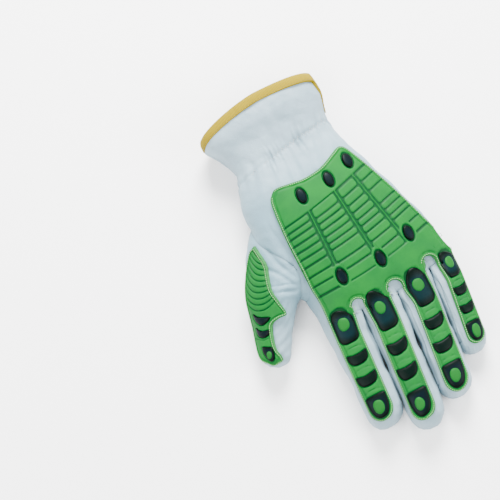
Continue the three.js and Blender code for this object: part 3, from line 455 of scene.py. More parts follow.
def thumb_back(along, across):
    """The thumb's back: along from its root, across outwards, in millimetres."""
    along, across = np.broadcast_arrays(np.asarray(along, float), np.asarray(across, float))
    _, _, _, half, rise = thumb_frame(np.minimum(along / THUMB_LENGTH, .8))
    angle = math.radians(85) - across / ((half + rise) / 2)
    return settle(joined(thumb_raw(along / THUMB_LENGTH, angle)))


def lifted(surface, a, b, height, step=.3):
    """Points of a surface raised along its normal, worked out by central differences."""
    point = surface(a, b)
    sideways = surface(a, b + step) - surface(a, b - step)
    forward = surface(a + step, b) - surface(a - step, b)
    normal = unit(np.cross(sideways, forward))
    return point + normal * np.asarray(height)[..., None], normal


def curve(points, count):
    """Places on a smooth curve through points: count of them evenly, or at shares of its length."""
    points = np.asarray(points, float)
    run = path_length(points)
    rows = {"at": run, "x": points[:, 0], "y": points[:, 1]}
    fine = between(rows, np.linspace(0, run[-1], 20 * len(points)))
    fine = np.stack([fine["x"], fine["y"]], 1)
    run = path_length(fine)
    at = np.linspace(0, run[-1], count) if np.isscalar(count) else np.asarray(count) * run[-1]
    return np.stack([np.interp(at, run, fine[:, 0]), np.interp(at, run, fine[:, 1])], 1)


# Meshes from arrays of points

def grid_faces(rows, cols, start=0, wrap=False):
    """Quads of a grid of rows x cols points, its columns joined round when it wraps."""
    r, c = np.meshgrid(np.arange(rows - 1), np.arange(cols if wrap else cols - 1), indexing="ij")
    n = (c + 1) % cols
    quads = np.stack([r * cols + n, r * cols + c, (r + 1) * cols + c, (r + 1) * cols + n], -1)
    return quads.reshape(-1, 4) + start


def weld(points, quads):
    """Joins equal points. Quads that lose one corner become triangles."""
    _, first, back = np.unique(np.round(points * 500).astype(np.int64), axis=0, return_index=True,
                               return_inverse=True)
    return first, back.reshape(-1)[quads]


def split_faces(quads):
    """Splits off the quads with a repeated corner as triangles: (quads, triangles)."""
    same = quads == np.roll(quads, -1, axis=1)
    three = same.sum(1) == 1
    return quads[same.sum(1) == 0], quads[three][~same[three]].reshape(-1, 3)


def two_layers(quads, edge, count):
    """Faces of a wall: its outside, the same faces turned over on its inside, and the rims."""
    whole, triangles = split_faces(quads)
    sides = np.stack([edge[:, 1], edge[:, 0], edge[:, 0] + count, edge[:, 1] + count], 1)
    return [whole, triangles, whole[:, ::-1] + count, triangles[:, ::-1] + count, sides]


def normals_of(points, quads):
    """Vertex normals, each the sum of its faces' areas."""
    a, b, c, d = (points[quads[:, i]] for i in range(4))
    area = np.cross(c - a, d - b)
    total = np.zeros_like(points)
    for i in range(4):
        np.add.at(total, quads[:, i], area)
    return unit(total)


def open_edges(quads):
    """Edges that only one face uses, in that face's direction."""
    a = quads.reshape(-1)
    b = np.roll(quads, -1, axis=1).reshape(-1)
    keep = a != b
    a, b = a[keep], b[keep]
    size = int(quads.max()) + 1
    alone = ~np.isin(a * size + b, b * size + a)
    return np.stack([a[alone], b[alone]], 1)


def edge_distance(points, start, end, reach=FAR):
    """Distance to the nearest of some segments, by whole blocks of points."""
    out = np.full(len(points), reach)
    ab = (end - start).astype(np.float32)
    length = np.maximum((ab * ab).sum(1), 1e-9)
    start = start.astype(np.float32)
    low, high = np.minimum(start, end).min(0) - reach, np.maximum(start, end).max(0) + reach
    inside = np.flatnonzero(((points > low) & (points < high)).all(1))
    for block in np.array_split(inside, max(len(inside) // 1500, 1)):
        d = points[block, None].astype(np.float32) - start[None]
        t = np.clip((d * ab).sum(-1) / length, 0, 1)
        d -= t[..., None] * ab
        out[block] = np.minimum(np.sqrt((d * d).sum(-1).min(1)), reach)
    return out


# Stitches as (pitch, length, radius)
GUARD_STITCH = (1.5, 1.0, .27)
BINDING_STITCH = (2.3, 1.7, .2)
PATCH_STITCH = (2.2, 1.5, .22)
WRIST_STITCH = (1.25, .95, .2)


def build(name, points, faces, materials, replaces=(), slot="leather", face_material=None,
          attributes=None, sharp=50):
    """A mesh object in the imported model's frame from millimetre points and lists of face arrays."""
    faces = [np.asarray(f) for f in faces if len(f)]
    used, back = np.unique(np.concatenate([f.reshape(-1) for f in faces]), return_inverse=True)
    sizes = np.concatenate([np.full(len(f), f.shape[1]) for f in faces])
    mesh = bpy.data.meshes.new(name)
    mesh.vertices.add(len(used))
    mesh.loops.add(len(back))
    mesh.polygons.add(len(sizes))
    place = np.asarray(points)[used] - (0, PALM_REST, 0)
    place[:, 2] = np.maximum(place[:, 2], 0)
    place = place / 1000
    mesh.vertices.foreach_set("co", place.astype(np.float32).ravel())
    mesh.loops.foreach_set("vertex_index", back.astype(np.int32).ravel())
    mesh.polygons.foreach_set("loop_start", (np.cumsum(sizes) - sizes).astype(np.int32))
    mesh.polygons.foreach_set("loop_total", sizes.astype(np.int32))
    for material in materials:
        mesh.materials.append(material)
    if face_material is not None:
        mesh.polygons.foreach_set("material_index", np.asarray(face_material, np.int32))
    for key, value in (attributes or {}).items():
        layer = mesh.attributes.new(key, "FLOAT", "POINT")
        layer.data.foreach_set("value", np.asarray(value, np.float32)[used])
    mesh.update(calc_edges=True)
    mesh.validate()
    mesh.shade_smooth()
    mesh.set_sharp_from_angle(angle=math.radians(sharp))
    piece = bpy.data.objects.new(name, mesh)
    bpy.context.scene.collection.objects.link(piece)
    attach(piece, "root")
    if replaces:
        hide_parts(*replaces)
    return piece


def shell(name, points, normals, quads, thick, materials, attributes=None, **rest):
    """A closed wall: the faces, the same faces moved in by the thickness, and the rims between."""
    inner = points - normals * np.asarray(thick)[..., None]
    faces = two_layers(quads, open_edges(quads), len(points))
    inside = np.repeat([0, 0, 1, 1, 0], [len(f) for f in faces])
    doubled = {key: np.concatenate([value, value]) for key, value in (attributes or {}).items()}
    return build(name, np.concatenate([points, inner]), faces, materials, face_material=inside,
                 attributes=doubled, **rest)


def dome(name, surface, outline, rings, materials, edge=False, **rest):
    """A closed pad on a surface: its outline shrunk to its middle, each ring at its own height.

    Ring i lies at middle + scale_i (outline - middle), raised by height_i, from the top's pole to
    the bottom's.
    """
    outline = np.asarray(outline, float)
    middle = (outline.max(0) + outline.min(0)) / 2
    scale = np.array([r[0] for r in rings])[:, None]
    a = middle[0] + scale * (outline[:, 0] - middle[0])
    b = middle[1] + scale * (outline[:, 1] - middle[1])
    height = np.broadcast_to(np.array([r[1] for r in rings])[:, None], a.shape)
    points, _ = lifted(surface, a, b, height)
    count = len(outline)
    quads = grid_faces(len(rings), count, wrap=True)
    points = points.reshape(-1, 3)
    first, quads = weld(points, quads)
    whole, triangles = split_faces(quads)
    values = {"ring": np.repeat(scale, count, 1).ravel()[first], "across": (b / b.max()).ravel()[first],
              "along": ((a - a.min()) / np.ptp(a)).ravel()[first]}
    if edge:
        values["seam"] = (1 - values["ring"]) * np.ptp(b) / 2
    flip = volume_sign(points[first], whole)
    return build(name, points[first], [whole[:, ::flip], triangles[:, ::flip]], materials,
                 attributes=values, **rest)


def volume_sign(points, quads):
    """1 where the faces look outwards, else -1, from the sign of the enclosed volume."""
    a, b, c, d = (points[quads[:, i]] - points.mean(0) for i in range(4))
    volume = (a * np.cross(b, c)).sum() + (a * np.cross(c, d)).sum()
    return 1 if volume > 0 else -1


def capsule(points, directions, normals, length, radius):
    """Short threads: for each place an ellipsoid of rings across its direction, as one array."""
    side = unit(np.cross(directions, normals))
    up = unit(np.cross(side, directions))
    along = np.array([-1, -.8, -.3, .3, .8, 1.0])
    wide = np.array([0, .62, 1, 1, .62, 0])
    turn = np.arange(6) * math.pi / 3
    lens = np.asarray(length, float) / 2
    out = (points[:, None, None] + directions[:, None, None] * (along[:, None] * lens)[None, ..., None]
           + side[:, None, None] * (wide[:, None] * np.cos(turn) * radius)[None, ..., None]
           + up[:, None, None] * (wide[:, None] * np.sin(turn) * radius * .8)[None, ..., None])
    return out.reshape(-1, 3)


def along_line(points, normals, pitch, closed):
    """Places, directions and normals at an equal pitch along a line of points."""
    if closed:
        points = np.concatenate([points, points[:1]])
        normals = np.concatenate([normals, normals[:1]])
    run = path_length(points)
    count = max(int(run[-1] / pitch), 2)
    at = (np.arange(count) + .5) * run[-1] / count

    def pick(values, where):
        return np.stack([np.interp(where, run, values[:, i]) for i in range(3)], 1)
    direction = unit(pick(points, np.minimum(at + .2, run[-1])) - pick(points, np.maximum(at - .2, 0)))
    return pick(points, at), direction, unit(pick(normals, at))


def threads(name, line, up, pitch, length, radius, material, slot="leather", closed=True):
    """Stitches at an equal pitch along a line, as one mesh of small closed capsules."""
    places, directions, normals = along_line(line, up, pitch, closed)
    count = len(places)
    points = capsule(places, directions, normals, length, radius)
    one = grid_faces(6, 6, wrap=True)[:, ::-1]
    quads = (one[None] + (np.arange(count) * 36)[:, None, None]).reshape(-1, 4)
    first, quads = weld(points, quads)
    whole, triangles = split_faces(quads)
    flip = volume_sign(points[first], whole)
    return build(name, points[first], [whole[:, ::flip], triangles[:, ::flip]], [material], slot=slot,
                 sharp=80)


def bell(distance, width):
    return np.exp(-(distance / width) ** 2)


def waves(p, seed, sizes):
    """Soft unevenness: a sum of sines along turned directions, each (wavelength, height)."""
    rng = np.random.default_rng(seed)
    total = np.zeros(p.shape[:-1])
    for size, height in sizes:
        for _ in range(4):
            direction = unit(rng.normal(size=3) * (1, 1, .6))
            total += height * .5 * np.sin(2 * math.pi * (p @ direction) / size + rng.uniform(0, 6.28))
    return total


# Materials

def tree_of(name):
    material = bpy.data.materials.new(name)
    material.use_nodes = True
    return material, material.node_tree, material.node_tree.nodes["Principled BSDF"]


def feed(tree, socket, value):
    """Gives a socket its value, or links it from another socket."""
    if isinstance(value, bpy.types.NodeSocket):
        tree.links.new(value, socket)
    else:
        socket.default_value = value


def node(tree, kind, **inputs):
    """A node with its inputs set by name or number: values, or sockets to link from."""
    made = tree.nodes.new(kind)
    for key, value in inputs.items():
        numbered = key[0] == "i" and key[1:].isdigit()
        feed(tree, made.inputs[int(key[1:]) if numbered else key], value)
    return made


def ramp(tree, value, low, high, start=0.0, end=1.0):
    """Map Range from (low, high) to (start, end), smooth."""
    made = node(tree, "ShaderNodeMapRange", i0=value, i1=low, i2=high, i3=start, i4=end)
    made.interpolation_type = "SMOOTHSTEP"
    return made.outputs[0]


def blend(tree, share, a, b):
    made = tree.nodes.new("ShaderNodeMix")
    made.data_type = "RGBA"
    for socket, value in ((made.inputs[0], share), (made.inputs[6], a), (made.inputs[7], b)):
        feed(tree, socket, value)
    return made.outputs[2]


def maths(tree, operation, *values):
    made = tree.nodes.new("ShaderNodeMath")
    made.operation = operation
    for i, value in enumerate(values):
        feed(tree, made.inputs[i], value)
    return made.outputs[0]


def shared_group(name, inputs, output):
    """An effect used by several materials, with its inputs and its one output named."""
    group = bpy.data.node_groups.new(name, "ShaderNodeTree")
    for label, kind, value in inputs:
        socket = group.interface.new_socket(name=label, in_out="INPUT", socket_type="NodeSocket" + kind)
        if value is not None:
            socket.default_value = value
    group.interface.new_socket(name=output, in_out="OUTPUT", socket_type="NodeSocketFloat")
    return group, group.nodes.new("NodeGroupInput"), group.nodes.new("NodeGroupOutput")


def mottle_group():
    """Cloudy mask: noise stretched between a low and a high value."""
    group, given, out = shared_group("cloudy_mottle", [
        ("Position", "Vector", None), ("Scale", "Float", 50.0), ("Low", "Float", .35),
        ("High", "Float", .65)], "Mask")
    cloud = node(group, "ShaderNodeTexNoise", Vector=given.outputs["Position"],
                 Scale=given.outputs["Scale"], Detail=5.0, Roughness=.6)
    mask = node(group, "ShaderNodeMapRange", i0=cloud.outputs["Fac"], i1=given.outputs["Low"],
                i2=given.outputs["High"], i3=0.0, i4=1.0)
    mask.interpolation_type = "SMOOTHSTEP"
    group.links.new(mask.outputs[0], out.inputs["Mask"])
    return group


def grain_group():
    """Fine surface grain: small noise over larger noise of a third of its scale."""
    group, given, out = shared_group("fine_grain", [
        ("Position", "Vector", None), ("Scale", "Float", 1200.0), ("Coarse", "Float", .4)], "Height")
    fine = node(group, "ShaderNodeTexNoise", Vector=given.outputs["Position"], Scale=given.outputs["Scale"],
                Detail=3.0, Roughness=.55)
    third = maths(group, "DIVIDE", given.outputs["Scale"], 3.0)
    coarse = node(group, "ShaderNodeTexNoise", Vector=given.outputs["Position"], Scale=third, Detail=2.0)
    added = maths(group, "ADD", fine.outputs["Fac"],
                  maths(group, "MULTIPLY", coarse.outputs["Fac"], given.outputs["Coarse"]))
    group.links.new(added, out.inputs["Height"])
    return group


MOTTLE, GRAIN = mottle_group(), grain_group()


def placed(tree, group, **inputs):
    """A shared group placed in a material with that material's own values."""
    made = tree.nodes.new("ShaderNodeGroup")
    made.node_tree = group
    for key, value in inputs.items():
        feed(tree, made.inputs[key], value)
    return made.outputs[0]


def attribute(tree, name):
    made = tree.nodes.new("ShaderNodeAttribute")
    made.attribute_name = name
    return made.outputs["Fac"]


def dress(tree, shader, base, roughness, height, strength, distance, specular):
    """Links a material's colour, roughness and bump to its shader."""
    feed(tree, shader.inputs["Base Color"], base)
    feed(tree, shader.inputs["Roughness"], roughness)
    shader.inputs["Specular IOR Level"].default_value = specular
    bump = node(tree, "ShaderNodeBump", Height=height, Strength=strength, Distance=distance)
    tree.links.new(bump.outputs[0], shader.inputs["Normal"])


def leather_material(name, light, dark, seam, painted_lighting, grain=1.0, rough=.6):
    """Grain leather: pebbled cells and fine pores as bump, soft stains, painted shade over the hand about
    the thumb's root, and a darker colour near the seams.
    """
    material, tree, shader = tree_of(name)
    coords = node(tree, "ShaderNodeTexCoord").outputs["Object"]
    cells = node(tree, "ShaderNodeTexVoronoi", Vector=coords, Scale=900.0)
    cells.feature = "DISTANCE_TO_EDGE"
    stain = placed(tree, MOTTLE, Position=coords, Scale=22.0, Low=.35, High=.68)
    cloud = placed(tree, MOTTLE, Position=coords, Scale=70.0, Low=.5, High=.78)
    base = blend(tree, stain, dark, light)
    base = blend(tree, maths(tree, "MULTIPLY", cloud, .35), base, dark)
    along = node(tree, "ShaderNodeSeparateXYZ", Vector=coords).outputs["Y"]
    # Painted shade: the colour darkens to the shade colour over the hand, most over the thumb's root and
    # crotch.
    painted_shade_band = maths(tree, "MULTIPLY", ramp(tree, along, -.075, -.02, 0.0, .7),
                    ramp(tree, along, .025, .06, 1.0, .12))
    base = blend(tree, painted_shade_band, base, painted_lighting)
    # The colour darkens within about a millimetre of the seams.
    near = ramp(tree, attribute(tree, "seam"), 0.0, 1.1, 1.0, 0.0)
    base = blend(tree, maths(tree, "MULTIPLY", near, .3), base, seam)
    tree.links.new(base, shader.inputs["Base Color"])
    tree.links.new(ramp(tree, cloud, 0.0, 1.0, rough - .06, rough + .08), shader.inputs["Roughness"])
    pores = placed(tree, GRAIN, Position=coords, Scale=1500.0, Coarse=.3)
    height = maths(tree, "ADD", maths(tree, "MULTIPLY", ramp(tree, cells.outputs["Distance"], 0, .25), .6),
                   maths(tree, "MULTIPLY", pores, .5))
    bump = node(tree, "ShaderNodeBump", Height=height, Strength=.4 * grain, Distance=.0003)
    wrinkle = node(tree, "ShaderNodeTexNoise", Vector=coords, Scale=150.0, Detail=6.0, Roughness=.62)
    second = node(tree, "ShaderNodeBump", Height=wrinkle.outputs["Fac"], Strength=.55 * grain,
                  Distance=.0012, Normal=bump.outputs[0])
    tree.links.new(second.outputs[0], shader.inputs["Normal"])
    return material


def rubber_material(name, light, dark, groove, pale=.35):
    """Moulded rubber: painted shade in the grooves, a painted highlight along the rim, faint moulding grain.
    """
    material, tree, shader = tree_of(name)
    coords = node(tree, "ShaderNodeTexCoord").outputs["Object"]
    patch = placed(tree, MOTTLE, Position=coords, Scale=45.0, Low=.35, High=.65)
    base = blend(tree, patch, dark, light)
    # Painted shade: the colour darkens to the groove colour where the relief is low.
    deep = ramp(tree, attribute(tree, "relief"), .15, .85, 1.0, 0.0)
    base = blend(tree, deep, base, groove)
    # Painted highlight: a paler green along the guard's border, as strong as pale gives.
    painted_lighting = ramp(tree, attribute(tree, "rim"), .25, .8, pale, 0.0)
    base = blend(tree, painted_lighting, base, (.07, .27, .075, 1))
    grain = placed(tree, GRAIN, Position=coords, Scale=1300.0, Coarse=.5)
    dress(tree, shader, base, ramp(tree, patch, 0.0, 1.0, .5, .6), grain, .14, .0002, .08)
    return material


def pad_material(name, edge, face):
    """Dark rubber pad with a bluer face that fades to a green-black rim, the darker rim being painted shade.
    """
    material, tree, shader = tree_of(name)
    coords = node(tree, "ShaderNodeTexCoord").outputs["Object"]
    # Painted shade: the face colour darkens to the edge colour towards the pad's rim.
    base = blend(tree, ramp(tree, attribute(tree, "ring"), .55, .95), face, edge)
    mottled = placed(tree, MOTTLE, Position=coords, Scale=120.0, Low=.4, High=.7)
    base = blend(tree, maths(tree, "MULTIPLY", mottled, .35), base, edge)
    grain = placed(tree, GRAIN, Position=coords, Scale=1100.0, Coarse=.5)
    dress(tree, shader, base, ramp(tree, mottled, 0.0, 1.0, .37, .45), grain, .16, .0002, .05)
    return material


def tape_material(name, light, dark):
    """Woven tape: ribs from the weave attribute crossed by rows from the width attribute."""
    material, tree, shader = tree_of(name)
    coords = node(tree, "ShaderNodeTexCoord").outputs["Object"]
    rib = maths(tree, "SINE", maths(tree, "MULTIPLY", attribute(tree, "weave"), 6.2832))
    across = maths(tree, "SINE", maths(tree, "MULTIPLY", attribute(tree, "width"), 6.2832))
    height = maths(tree, "ADD", rib, maths(tree, "MULTIPLY", across, .7))
    base = blend(tree, ramp(tree, height, -1.4, 1.4), dark, light)
    cloud = placed(tree, MOTTLE, Position=coords, Scale=180.0, Low=.5, High=.75)
    base = blend(tree, maths(tree, "MULTIPLY", cloud, .4), base, dark)
    dress(tree, shader, base, .8, height, .5, .0003, .15)
    return material


def thread_material(name, color):
    """Sewing thread with a fine twist."""
    material, tree, shader = tree_of(name)
    coords = node(tree, "ShaderNodeTexCoord").outputs["Object"]
    twist = placed(tree, GRAIN, Position=coords, Scale=2600.0, Coarse=.2)
    shade = tuple(v * .6 for v in color[:3]) + (1,)
    base = blend(tree, ramp(tree, twist, .4, .8, 0, .4), color, shade)
    tree.links.new(base, shader.inputs["Base Color"])
    shader.inputs["Roughness"].default_value = .6
    bump = node(tree, "ShaderNodeBump", Height=twist, Strength=.4, Distance=.0002)
    tree.links.new(bump.outputs[0], shader.inputs["Normal"])
    return material


# The fourth colour given to each leather is its painted shade colour.
HIDE = leather_material("grain_leather", (.226, .319, .368, 1), (.175, .255, .3, 1), (.06, .085, .1, 1),
                        (.088, .192, .241, 1))
SUEDE = leather_material("flesh_side", (.22, .26, .28, 1), (.17, .2, .22, 1), (.1, .12, .13, 1),
                         (.17, .2, .22, 1), 1.6, .9)
# The third colour given to each rubber is its painted groove shade.
RUBBER = rubber_material("green_rubber", (.0012, .1, .012, 1), (.001, .08, .012, 1), (.0005, .034, .008, 1))
PAD = pad_material("navy_rubber", (.0001, .0022, .0012, 1), (.0007, .004, .0058, 1))
PALE_PAD = pad_material("navy_rubber_flat", (.0001, .0022, .0012, 1), (.0012, .0085, .0105, 1))
GREEN_PAD = pad_material("green_black_rubber", (.0001, .002, .001, 1), (.0001, .0034, .0022, 1))
BUTTON = rubber_material("button_rubber", (.004, .12, .005, 1), (.003, .095, .006, 1),
                         (.003, .075, .009, 1), 0.0)
TAPE = tape_material("gold_tape", (.275, .2, .0004, 1), (.185, .132, .0004, 1))
THREAD = thread_material("white_thread", (.36, .4, .41, 1))
GREEN_THREAD = thread_material("pale_green_thread", (.17, .36, .13, 1))
GOLD_THREAD = thread_material("gold_thread", (.09, .055, .003, 1))


# Leather

BACK_COLUMNS, SIDE_COLUMNS = 30, 14
HAND_ROWS, FINGER_ROWS = 190, 100
THUMB_ROWS, THUMB_COLUMNS = 150, 120


# The hand's ring of columns as (finger, part): 0 back, 1 little finger's side, 2 front, 3 thumb's side
RING = [(0, 0), (1, 0), (2, 0), (3, 0), (3, 1), (3, 2), (2, 2), (1, 2), (0, 2), (0, 3)]
TIP_START, TIP_SHARE, TIP_CROWDING = .82, .18, 1.4
SIDE_STRIP_END = .84
THUMB_REACH, THUMB_MOUTH_END = 40, 141


def ring_columns(numbers):
    """(finger, q) of the columns round the hand: back of each finger, side, fronts, side."""
    ks, qs = [], []
    for k, start, count in numbers:
        ks.append(np.full(count, k))
        qs.append(start + np.arange(count) / count)
    return np.concatenate(ks), np.concatenate(qs)


BAND_ROWS, BAND_COLUMNS, BAND_HALF = 90, 31, 9.5
BAND_CORE, BAND_COVER, LONG_FACE = .36, .58, 5
ARC_CENTRE, ARC_RADIUS, ARC_TURN = (30, 116, 13), 12, 118


def glove_skin():
    """Grids of the hand and fingers: points, quads, panel of each quad."""
    back, side = BACK_COLUMNS, SIDE_COLUMNS
    k, q = ring_columns([(f, part, side if part in (1, 3) else back) for f, part in RING])
    share = np.linspace(0, 1, HAND_ROWS)
    points = [hand_skin(k[None], q[None], share[:, None]).reshape(-1, 3)]
    quads = [grid_faces(HAND_ROWS, len(k), wrap=True)]
    middle = q + .5 / np.where((q >= 1) & (q < 2) | (q >= 3), side, back)
    upper = (middle < 1.5) | (middle > 3.5)
    panels = [np.tile(np.where(upper, 0, 1), HAND_ROWS - 1)]
    total = len(points[0])
    for f in range(4):
        k, q = ring_columns([(f, 0, back), (f, 1, side), (f, 2, back), (f, 3, side)])
        tip = np.cos(np.linspace(0, math.pi / 2, TIP_ROWS)) ** TIP_CROWDING
        share = np.concatenate([np.linspace(0, TIP_START, FINGER_ROWS - TIP_ROWS, endpoint=False),
                                1 - TIP_SHARE * tip])
        points.append(finger_skin(k[None], share[:, None], q[None]).reshape(-1, 3))
        quads.append(grid_faces(FINGER_ROWS, len(k), total, wrap=True))
        total += len(points[-1])
        middle = q + .5 / np.where((q >= 1) & (q < 2) | (q >= 3), side, back)
        row = (share[:-1] + share[1:]) / 2
        front = [1, 2, 3, 1][f]
        little = (middle > 1) & (middle < 2)
        thumb = middle > 3
        upper = (middle < 1.5) | (middle > 3.5)
        panel = np.tile(np.where(upper, 0, front), (len(row), 1))
        inner = (little & (f < 3)) | (thumb & (f > 0))
        strip = np.where(little, 4 + f, 3 + f)
        panel = np.where(inner[None] & (row < SIDE_STRIP_END)[:, None], strip[None], panel)
        panels.append(panel.reshape(-1))
    points = np.concatenate(points)
    first, quads = weld(points, np.concatenate(quads))
    return points[first], quads, np.concatenate(panels)


PANELS = ["back_leather", "palm_leather", "middle_finger_front", "ring_finger_front",
          "fourchette_index_middle", "fourchette_middle_ring", "fourchette_ring_little"]


def cut(points, quads, panels):
    """Drops the hand's faces inside the thumb and draws the edge's points onto the seam."""
    gone = seam_side(points) < 0
    gone &= (np.abs(thumb_gap(points)) < THUMB_REACH) & (points[:, 1] < THUMB_MOUTH_END)
    keep = ~gone[quads].all(1)
    quads, panels = quads[keep], panels[keep]
    edge = np.zeros(len(points), bool)
    edge[quads[gone[quads].any(1)]] = True
    edge &= gone
    places = points[edge]
    for _ in range(8):
        places = pulled(union_gap, pulled(seam_side, places, 1), 1)
    points = points.copy()
    points[edge] = settle(places)
    keep = off_the_line(points, quads)
    return points, quads[keep], panels[keep]


def face_normals(points, quads):
    """Unit normal of each quad, from its diagonals."""
    a, b, c, d = (points[quads[:, i]] for i in range(4))
    normal = np.cross(c - a, d - b)
    return normal / np.maximum(np.linalg.norm(normal, axis=1, keepdims=True), 1e-9)


def seam_side(p):
    """Positive where the hand is nearer than the thumb."""
    return thumb_gap(p) - hand_gap(p)


def crotch_line():
    """Seam round the thumb's crotch, from the palm over the web to the back.

    Points of an arc are drawn onto the place where both distances are equal and nil.
    """
    turn = np.radians(np.linspace(-ARC_TURN, ARC_TURN, BAND_ROWS))
    x, y, z = ARC_CENTRE
    line = np.stack([x + 0 * turn, y + ARC_RADIUS * np.cos(turn), z + ARC_RADIUS * np.sin(turn)], 1)
    for _ in range(40):
        line = pulled(union_gap, pulled(seam_side, line, 1), 1)
    return line, np.abs(turn) / turn[-1]


def off_the_line(points, quads):
    """True for quads that leave the middle of the crotch's band free."""
    line, ends = crotch_line()
    line = line[ends < .7]
    near = np.full(len(points), 99.0)
    low, high = line.min(0) - 12, line.max(0) + 12
    close = ((points > low) & (points < high)).all(1)
    near[close] = np.sqrt(((points[close][:, None] - line[None]) ** 2).sum(-1)).min(1)
    a, b, c, d = (points[quads[:, i]] for i in range(4))
    longest = np.maximum(np.linalg.norm(c - a, axis=1), np.linalg.norm(d - b, axis=1))
    least = near[quads].min(1)
    return (least > BAND_CORE * BAND_HALF) & ((least > BAND_COVER * BAND_HALF) | (longest < LONG_FACE))


def crotch_band():
    """Leather over the seam in the thumb's crotch.

    The grid runs BAND_HALF millimetres to both sides of the seam's line and sinks under the
    leather at its edges.
    """
    line, ends = crotch_line()
    normal = slope(union_gap, line)
    across = slope(seam_side, line)
    across -= normal * (across * normal).sum(1)[:, None]
    across /= np.linalg.norm(across, axis=1)[:, None]
    side = np.linspace(-BAND_HALF, BAND_HALF, BAND_COLUMNS)
    points = line[:, None] + side[None, :, None] * across[:, None]
    points = settle(pulled(union_gap, points.reshape(-1, 3), 6))
    away = np.abs(np.tile(side, BAND_ROWS))
    ends = np.repeat(ends, BAND_COLUMNS)
    sunk = 1.1 * np.maximum(ease((away - .66 * BAND_HALF) / (.34 * BAND_HALF)), ease((ends - .86) / .14))
    quads = grid_faces(BAND_ROWS, BAND_COLUMNS)
    if (face_normals(points, quads) * slope(union_gap, points[quads].mean(1))).sum() < 0:
        quads = quads[:, ::-1]
    return points, quads, away, sunk - .06


def seam_segments(points, quads, panels):
    """Both ends of every edge between two panels or at an open edge."""
    a = quads.reshape(-1)
    b = np.roll(quads, -1, axis=1).reshape(-1)
    tag = np.repeat(panels, 4)
    size = int(quads.max()) + 1
    low, high = np.minimum(a, b), np.maximum(a, b)
    key = low * size + high
    order = np.argsort(key, kind="stable")
    key, tag, low, high = key[order], tag[order], low[order], high[order]
    start = np.flatnonzero(np.insert(key[1:] != key[:-1], 0, True))
    count = np.diff(np.append(start, len(key)))
    least = np.minimum.reduceat(tag, start)
    most = np.maximum.reduceat(tag, start)
    seam = ((count == 1) | (least != most)) & (low[start] != high[start])
    return points[low[start][seam]], points[high[start][seam]]


THUMB_CROTCH = (31.0, 127.0)
WRIST_AT, WRIST_SLANT = 38.8, .18
WEB_RISE, WEB_ACROSS, WEB_ALONG = 2.6, 4.2, 6.5
SHOULDER_RISE, SHOULDER_SAMPLES = 2.0, 60
CREASES = columns("turn start run depth width", [
    (-8, 1, 20, .8, 1.5),
    (-30, 2, 26, .7, 1.3),
    (-52, 3, 34, .9, 1.8),
    (-74, 4, 44, .9, 2.2),
    (-90, 8, 50, .7, 2.4),
    (-104, 12, 40, .5, 2.6),
])


def leather_relief(points, seam):
    """Height of the leather's seams, gathers, creases and soft unevenness over its smooth form.

    A seam is a bell-shaped dip beside a low swell. Gathers are sines round the wrist, creases are
    bell-shaped valleys on rays from the thumb's crotch, and fingers carry lengthwise ripples.
    """
    x, y, z = points.T
    up = ease((z - 3) / 6)
    high = -.45 * bell(seam, .7) + .12 * bell(seam - 2.4, 1.4)
    high += waves(points, 3, [(46, .5), (23, .34), (12, .16), (7, .07)]) * ease(z / 3)
    line = y - WRIST_AT - WRIST_SLANT * x
    angle = np.arctan2(z - 17, x + 2)
    uneven = 1 + .5 * np.sin(angle * 6 + 1) + .3 * np.sin(angle * 11 + 2.2)
    ripple = np.sin(angle * 31 + 2.2 * np.sin(angle * 5)) + .6 * np.sin(angle * 47 + 2 * np.sin(angle * 7))
    high += bell(line, 7.0) * (.42 * ripple * uneven - .3) - .75 * bell(line, 1.3)
    folds = np.sin(angle * 13 + 1.5 * np.sin(angle * 3 + y / 21) + y / 17)
    high += .42 * folds * ease((36 - y) / 26) * ease((y - 7) / 8) * up
    high += .4 * np.sin(angle * 15 + y / 13 + 1) * bell(y - 56, 12) * up
    dx, dy = x - THUMB_CROTCH[0], y - THUMB_CROTCH[1]
    for turn, start, run, depth, width in zip(*CREASES.values()):
        c, r = math.cos(math.radians(turn)), math.sin(math.radians(turn))
        ahead, beside = dx * c + dy * r, -dx * r + dy * c
        beside = beside + 1.2 * np.sin(ahead / 7 + turn)
        reach = ease((ahead - start) / 6) * (1 - ease((ahead - start - run * .5) / (run * .5)))
        high += up * reach * depth * (.55 * bell(beside - 1.8 * width, width) - bell(beside, .6 * width))
    finger = ease((y - 150) / 10) * (x < 45)
    lean = x - .07 * (y - 158)
    high += finger * (.14 * np.sin(lean * 2.6 + .9 * np.sin(y / 9)) + .1 * np.sin(lean * 4.1 + y / 13))
    thumb = ease((x - 40) / 8) * ease((y - 100) / 20)
    high += thumb * .18 * np.sin((y - .5 * x) * 1.1 + 1.4 * np.sin(x / 5))
    return high


def web_swell(points, normals):
    """Height that the leather is pushed up between the fingers: a bell round each crotch."""
    x, y, _ = points.T
    high = 0 * x
    for across, along in zip(CROTCH["across"][1:4], CROTCH["along"][1:4]):
        high = high + WEB_RISE * np.exp(-((x - across) / WEB_ACROSS) ** 2
                                        - ((y - along - 2) / WEB_ALONG) ** 2)
    return high * np.clip(normals[:, 2], 0, 1)


def shoulder_swell(points, normals):
    """Height that the finger backs gain beside their strips where a neighbour lies."""
    x, y, _ = points.T
    high = 0 * x
    share = np.linspace(0, 1, SHOULDER_SAMPLES)
    for k in range(4):
        middle, along, _, half = finger_frame(np.full(SHOULDER_SAMPLES, k), share)[:4]
        off = (x - np.interp(y, along, middle)) / np.maximum(np.interp(y, along, half), .01)
        beside = np.where(off > 0, k > 0, k < 3)
        run = ease((y - along[0] - 2) / 10) * (1 - ease((y - along[-1] + 16) / 12))
        off = np.abs(off)
        high = high + beside * run * SHOULDER_RISE * ease((off - .66) / .2) * (1 - ease((off - .96) / .1))
    return high * np.clip(normals[:, 2], 0, 1)


def wall_of(away):
    """Wall thickness, drawn thin at a panel's edge so that walls don't cross in the seams."""
    return LEATHER * (.15 + .85 * ease(away / 2.5))


